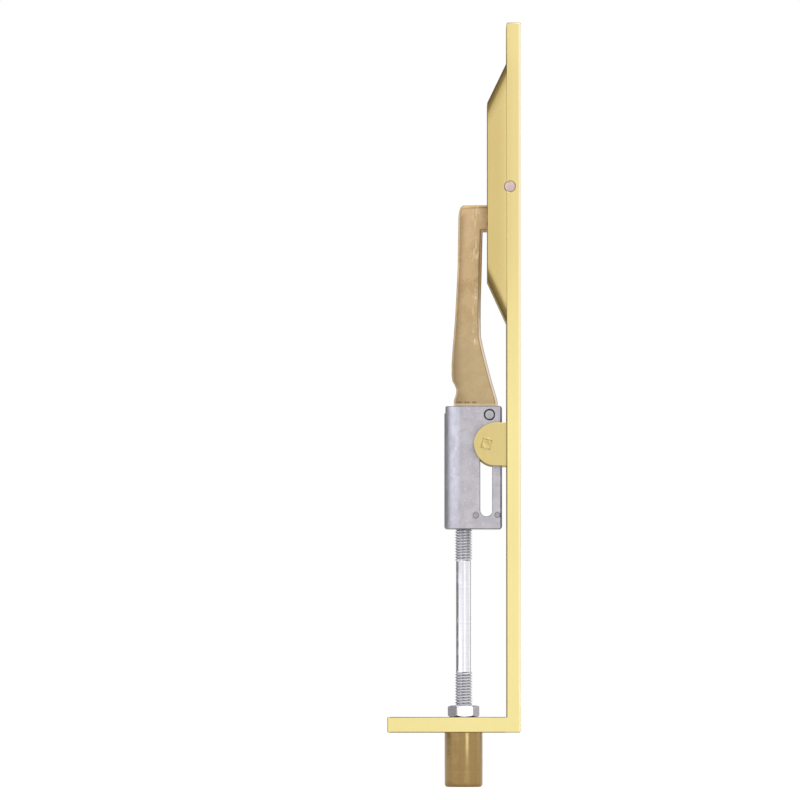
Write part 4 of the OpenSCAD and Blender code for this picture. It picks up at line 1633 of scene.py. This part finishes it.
@dataclass
class RodAndBolt:
    """The threaded rod, its lock nut and the round bolt.

    Sizes are in millimetres.
    """

    pitch: float = 0.8
    crest_r: float = 2.5
    root_r: float = 1.97
    shank_r: float = 2.15
    rod_low: float = -7.0
    rod_high: float = 69.2
    low_thread_top: float = 17.2
    high_thread_low: float = 49.3
    shank_middle: float = 33.0
    block_low: float = 60.0
    nut_low: float = 4.5
    nut_high: float = 7.8
    nut_flats: float = 8.0
    nut_turn: float = 6.0
    bolt_r: float = 5.45
    bolt_low: float = -15.5
    bolt_high: float = 4.5
    tip_r: float = 0.9

    def build(self, shelf: EffectShelf) -> list[bpy.types.Object]:
        """Builds the rod, the nut and the bolt.

        Args:
            shelf: The shared effects.

        Returns:
            The pieces.
        """
        # The dark edge colours paint shade along the edges; the thread's pale one paints
        # highlights on its crests.
        plated = TurnedMetal("plated steel", srgb(240, 239, 243), srgb(230, 229, 234), 0.16,
                             edge=srgb(120, 120, 124), edge_amount=0.4, streaks=0.3, rings=0.1,
                             dirt_and_shade=0.9, dirt_and_shade_reach=0.5).material(shelf)
        thread = TurnedMetal("thread steel", srgb(224, 223, 226), srgb(210, 209, 213), 0.2,
                             edge=srgb(232, 231, 236), edge_width=0.15, edge_amount=0.5,
                             streaks=0.3, rings=0.1, dirt_and_shade=0.8, dirt_and_shade_reach=0.6).material(shelf)
        nut_steel = TurnedMetal("nut steel", srgb(228, 224, 233), srgb(218, 214, 223), 0.14,
                                edge=srgb(70, 70, 74), edge_width=0.3, edge_amount=0.9,
                                streaks=0.2, rings=0.1, dirt_and_shade=0.8, dirt_and_shade_reach=0.4).material(shelf)
        brass = TurnedMetal("bolt brass", srgb(168, 140, 94), srgb(162, 134, 88), 0.16,
                            edge=srgb(112, 88, 50), edge_amount=0.6, rings=0.2, streaks=0.3,
                            dirt_and_shade=0.25, dirt_and_shade_reach=0.5).material(shelf)
        rod, nut, bolt = Shape(), Shape(), Shape()
        self.rod(rod)
        self.nut(nut)
        self.bolt(bolt)
        return [
            self.with_threads(rod.piece("rod_threaded", Body.BOLT, plated, "connecting_rod",
                                        "plated_steel", angle=40), thread),
            nut.piece("nut_chamfered", Body.BOLT, nut_steel, "lock_nut", "plated_steel", angle=20),
            bolt.piece("bolt_turned", Body.BOLT, brass, "shoot_bolt", "bolt_brass", angle=40),
        ]

    def with_threads(self, made: bpy.types.Object, thread: bpy.types.Material) -> bpy.types.Object:
        """Gives the rod's two threads a duller material than its shank.

        Args:
            made: The rod.
            thread: The threads' material.

        Returns:
            The rod.
        """
        made.data.materials.append(thread)
        low, high = self.low_thread_top * MM, self.high_thread_low * MM
        for face in made.data.polygons:
            if not low < face.center.z < high:
                face.material_index = 1
        return made

    def thread_r(self, turn: float, up: float) -> float:
        """Returns the rod's radius at one turn and height.

        Args:
            turn: How far round, from 0 to 1.
            up: The height.

        Returns:
            The radius.
        """
        if self.low_thread_top < up < self.high_thread_low:
            fade = min(up - self.low_thread_top, self.high_thread_low - up) / 0.5
            return self.shank_r if fade > 0.5 else self.shank_r + (0.5 - fade) * 0.1
        phase = (up / self.pitch - turn) % 1.0
        away = abs(phase - 0.5) * 2
        depth = min(1.0, max(0.0, (away - 0.22) / 0.68))
        return self.crest_r - (self.crest_r - self.root_r) * depth

    def rod(self, shape: Shape) -> None:
        """Adds the rod with a helical thread at each end.

        Args:
            shape: The mesh to add to.
        """
        steps = 40
        fine = self.pitch / 8
        heights = [self.rod_low, self.nut_low]
        low, high = self.low_thread_top, self.high_thread_low
        shank = (low, low + 0.12, low + 0.5, self.shank_middle, high - 0.5, high - 0.12)
        top = (self.block_low + 0.5, self.rod_high)
        for start, end, after in ((self.nut_low + 1.0, low, shank), (high, self.block_low, top)):
            up = start
            while up < end:
                heights.append(up)
                up += fine
            heights += after
        rings = []
        for up in heights:
            inside = up < self.nut_low + 0.5 or up > self.block_low + 0.2
            radii = [self.root_r if inside else self.thread_r(i / steps, up) for i in range(steps)]
            rings.append(shape.ring([(*around(AXIS, radius, 360 * i / steps), up)
                                     for i, radius in enumerate(radii)]))
        shape.close_skin(rings)

    def nut(self, shape: Shape) -> None:
        """Adds the hexagon nut with chamfered corners and a bore.

        Args:
            shape: The mesh to add to.
        """
        steps = 96
        flat = self.nut_flats / 2
        slope = math.tan(math.radians(30))
        bore = self.crest_r + 0.05
        face_r = flat * 0.97

        def to_side(degrees: float) -> float:
            """Returns how far the side at one turn is beyond the round of the flat ends."""
            part = (degrees - self.nut_turn + 30) % 60 - 30
            return flat / math.cos(math.radians(part)) - face_r

        low, high = self.nut_low, self.nut_high
        rings = []
        for radius, up, out, way in ((bore, low, 0, 0), (face_r, low, 0, 0), (face_r, low, 1, 1),
                                     (face_r, high, 1, -1), (face_r, high, 0, 0),
                                     (bore, high, 0, 0)):
            ring = []
            for i in range(steps):
                degrees = 360 * i / steps
                beyond = to_side(degrees) * out
                ring.append((*around(AXIS, radius + beyond, degrees), up + beyond * slope * way))
            rings.append(shape.ring(ring))
        shape.skin(rings, closed=True)

    def bolt(self, shape: Shape) -> None:
        """Adds the bolt with its rounded tip and oil groove.

        Args:
            shape: The mesh to add to.
        """
        profile = [(0.0, self.bolt_low), (2.0, self.bolt_low)]
        tip = (self.bolt_r - self.tip_r, self.bolt_low + self.tip_r)
        profile += arc(tip, self.tip_r, -90, 0, 8)
        profile += [(self.bolt_r, -0.1), (self.bolt_r, -0.05), (self.bolt_r - 0.1, 0.12),
                    (self.bolt_r - 0.3, 0.2), (self.bolt_r - 0.3, 0.8), (self.bolt_r - 0.1, 0.88),
                    (self.bolt_r, 1.0), (self.bolt_r, self.bolt_high - 0.25),
                    (self.bolt_r - 0.2, self.bolt_high), (2.6, self.bolt_high)]
        shape.lathe(profile, 96)


@dataclass(frozen=True)
class Card:
    """A card beside the bolt, seen only in reflections, dark or with a glow of its own.

    The azimuth is the side it stands on, in degrees, with 0 in front of the face and 270 at
    the picture's camera; widths are in degrees, and heights and distances in metres.
    """

    azimuth: float
    width: float
    low: float
    high: float
    shade: float
    far: float = 0.9
    glow: float = 0.03
    tint: Colour = (1.0, 1.0, 1.0)


@dataclass(frozen=True)
class Strip:
    """A soft strip lamp beside the bolt.

    The azimuth is as a card's; sizes are in metres, and glow is its brightness, 1 being white.
    """

    azimuth: float
    width: float
    low: float
    high: float
    glow: float
    far: float = 0.8
    tint: Colour = (1.0, 1.0, 1.0)


@dataclass
class Studio:
    """The camera, the white surroundings, the floor, the lamps and the dark cards.

    Lengths are in metres.
    """

    lens: float = 400.0
    camera_x: float = -2.5458
    camera_z: float = 0.0
    aim_y: float = 0.0182
    aim_z: float = 0.094912
    floor_z: float = -0.01555
    surround: float = 0.55
    lamp_aim: float = 0.095
    hanging: float = 0.8
    card_fade: float = 5.0
    cards: tuple[Card, ...] = (Card(136, 66, 0.005, 0.95, 0.78), Card(57, 44, 0.06, 0.95, 0.7),
                               Card(343, 14, 0.06, 0.95, 0.5),
                               Card(206, 76, 0.07, 0.5, 0.9, glow=1.85, tint=(0.9, 0.95, 1.08)),
                               Card(171, 38, 0.0, 0.11, 0.8), Card(34, 40, 0.0, 0.11, 0.6))
    strips: tuple[Strip, ...] = (Strip(287, 0.2, 0.0, 0.7, 0.4), Strip(17, 0.2, 0.0, 0.7, 0.7),
                                 Strip(291, 0.09, -0.0155, 0.012, 2.2, far=0.3,
                                       tint=(0.75, 1.0, 1.1)))

    def build(self) -> None:
        """Builds the whole studio."""
        self.camera()
        self.world()
        self.floor()
        self.lamps()
        self.stand_cards()
        bpy.context.scene.view_settings.view_transform = "Standard"

    def camera(self) -> None:
        """Puts the camera beside the bolt and low down, as in the picture's right half."""
        data = bpy.data.cameras.new("camera")
        data.lens = self.lens
        data.sensor_width = 36.0
        data.clip_end = 50.0
        made = bpy.data.objects.new("camera", data)
        made.location = (self.camera_x, self.aim_y, self.camera_z)
        way = Vector((-0.01, self.aim_y, self.aim_z)) - made.location
        made.rotation_euler = way.to_track_quat("-Z", "Y").to_euler()
        bpy.context.collection.objects.link(made)
        bpy.context.scene.camera = made

    def world(self) -> None:
        """Makes the surroundings white to the camera and to metal, and softer to the floor."""
        world = bpy.data.worlds.new("white room")
        wiring = Wiring(emptied(world))
        path = wiring.add("ShaderNodeLightPath")
        seen = wiring.larger(path["Is Camera Ray"],
                             wiring.larger(path["Is Glossy Ray"], path["Is Transmission Ray"]))
        strength = seen * (1.0 - self.surround) + self.surround
        wiring.close(wiring.add("ShaderNodeBackground",
                                {"Color": (1.0, 1.0, 1.0), "Strength": strength}), "World")
        bpy.context.scene.world = world

    def floor(self) -> None:
        """Lays a plain pale floor that keeps the bolt's shadow and can't be seen from below."""
        made = self.sheet("floor", (0.0, 0.0, self.floor_z), (3.0, 3.0), (0.0, 0.0, 0.0))
        material = bpy.data.materials.new("pale floor")
        wiring = Wiring(emptied(material))
        path = wiring.add("ShaderNodeLightPath")
        mirrored = wiring.larger(path["Is Glossy Ray"], path["Is Transmission Ray"])
        strength = path["Is Camera Ray"] * 0.55 + mirrored * 0.3
        matt = wiring.add("ShaderNodeBsdfDiffuse", {"Color": (0.8, 0.8, 0.8)})
        glow = wiring.add("ShaderNodeEmission", {"Color": (1.0, 1.0, 1.0), "Strength": strength})
        both = wiring.add("ShaderNodeAddShader", {0: matt[0], 1: glow[0]})
        behind = wiring.add("ShaderNodeNewGeometry")["Backfacing"]
        wiring.close(wiring.mix_shaders(behind, both, wiring.add("ShaderNodeBsdfTransparent")))
        made.data.materials.append(material)

    def sheet(self, name: str, place: Way, size: Point, turn: Way) -> bpy.types.Object:
        """Adds one flat sheet to the studio.

        Args:
            name: Its name.
            place: Its middle.
            size: Its width and height.
            turn: Its rotation in degrees.

        Returns:
            The sheet.
        """
        wide, high = size[0] / 2, size[1] / 2
        data = bpy.data.meshes.new(name)
        data.from_pydata([(-wide, -high, 0), (wide, -high, 0), (wide, high, 0), (-wide, high, 0)],
                         [], [(0, 1, 2, 3)])
        made = bpy.data.objects.new(name, data)
        made.location = place
        made.rotation_euler = [math.radians(part) for part in turn]
        bpy.context.collection.objects.link(made)
        return made

    def lamps(self) -> None:
        """Hangs a soft lamp above and stands the strips round the bolt."""
        self.lamp("top lamp", (-0.35, -0.35, 0.95), (0.9, 0.9), 1.1)
        for i, strip in enumerate(self.strips):
            made = self.lamp(f"strip lamp {i + 1}", self.stand(strip),
                             (strip.width, strip.high - strip.low), strip.glow)
            made.data.color = strip.tint

    def stand(self, thing: "Card | Strip") -> Way:
        """Returns the middle of a card or a strip lamp on its side of the bolt."""
        return (*around(AXIS, thing.far, thing.azimuth - 90), (thing.low + thing.high) / 2)

    def lamp(self, name: str, place: Way, size: Point, glow: float) -> bpy.types.Object:
        """Adds one area lamp that points at the bolt's axis.

        Args:
            name: Its name.
            place: Where it hangs.
            size: Its width and height.
            glow: Its brightness, 1 being white.

        Returns:
            The lamp.
        """
        data = bpy.data.lights.new(name, "AREA")
        data.shape = "RECTANGLE"
        data.size, data.size_y = size
        data.energy = glow * math.pi * size[0] * size[1]
        made = bpy.data.objects.new(name, data)
        made.location = place
        up = min(place[2], self.lamp_aim) if place[2] > self.hanging else place[2]
        way = Vector((0.0, 0.0, up)) - Vector(place)
        made.rotation_euler = way.to_track_quat("-Z", "Y").to_euler()
        made.visible_camera = False
        bpy.context.collection.objects.link(made)
        return made

    def stand_cards(self) -> None:
        """Stands the cards that only reflections show, which give round metal its edges."""
        for i, card in enumerate(self.cards):
            wide = 2 * card.far * math.tan(math.radians(card.width / 2))
            made = self.sheet(f"card {i + 1}", self.stand(card), (wide, card.high - card.low),
                              (90, 0, card.azimuth))
            made.data.materials.append(self.card_paper(card))
            made.visible_camera = False
            made.visible_diffuse = False
            made.visible_shadow = False

    def card_paper(self, card: Card) -> bpy.types.Material:
        """Makes a card's paper, which fades out towards its two upright edges.

        Args:
            card: The card.

        Returns:
            The material.
        """
        material = bpy.data.materials.new("card paper")
        wiring = Wiring(emptied(material))
        across = wiring.split(wiring.add("ShaderNodeTexCoord")["Generated"])[0]
        fade = min(0.45, self.card_fade / card.width)
        shade = wiring.remap(abs(across - 0.5), 0.5, 0.5 - fade) * card.shade
        paper = wiring.add("ShaderNodeEmission", {"Color": card.tint, "Strength": card.glow})
        wiring.close(wiring.mix_shaders(shade, wiring.add("ShaderNodeBsdfTransparent"), paper))
        return material


def main() -> None:
    """Builds the studio and every sub-assembly, and reports each piece."""
    logging.basicConfig(level=logging.INFO, format="%(message)s")
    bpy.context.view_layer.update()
    shelf = EffectShelf()
    Studio().build()
    made = []
    for assembly in (FaceAndPocket(), LeverSet(), ConnectingArm(), SliderSet(), GuideSet(),
                     RodAndBolt()):
        made += assembly.build(shelf)
    bpy.context.view_layer.update()
    for piece in made:
        report(piece)


if __name__ == "__main__":
    main()
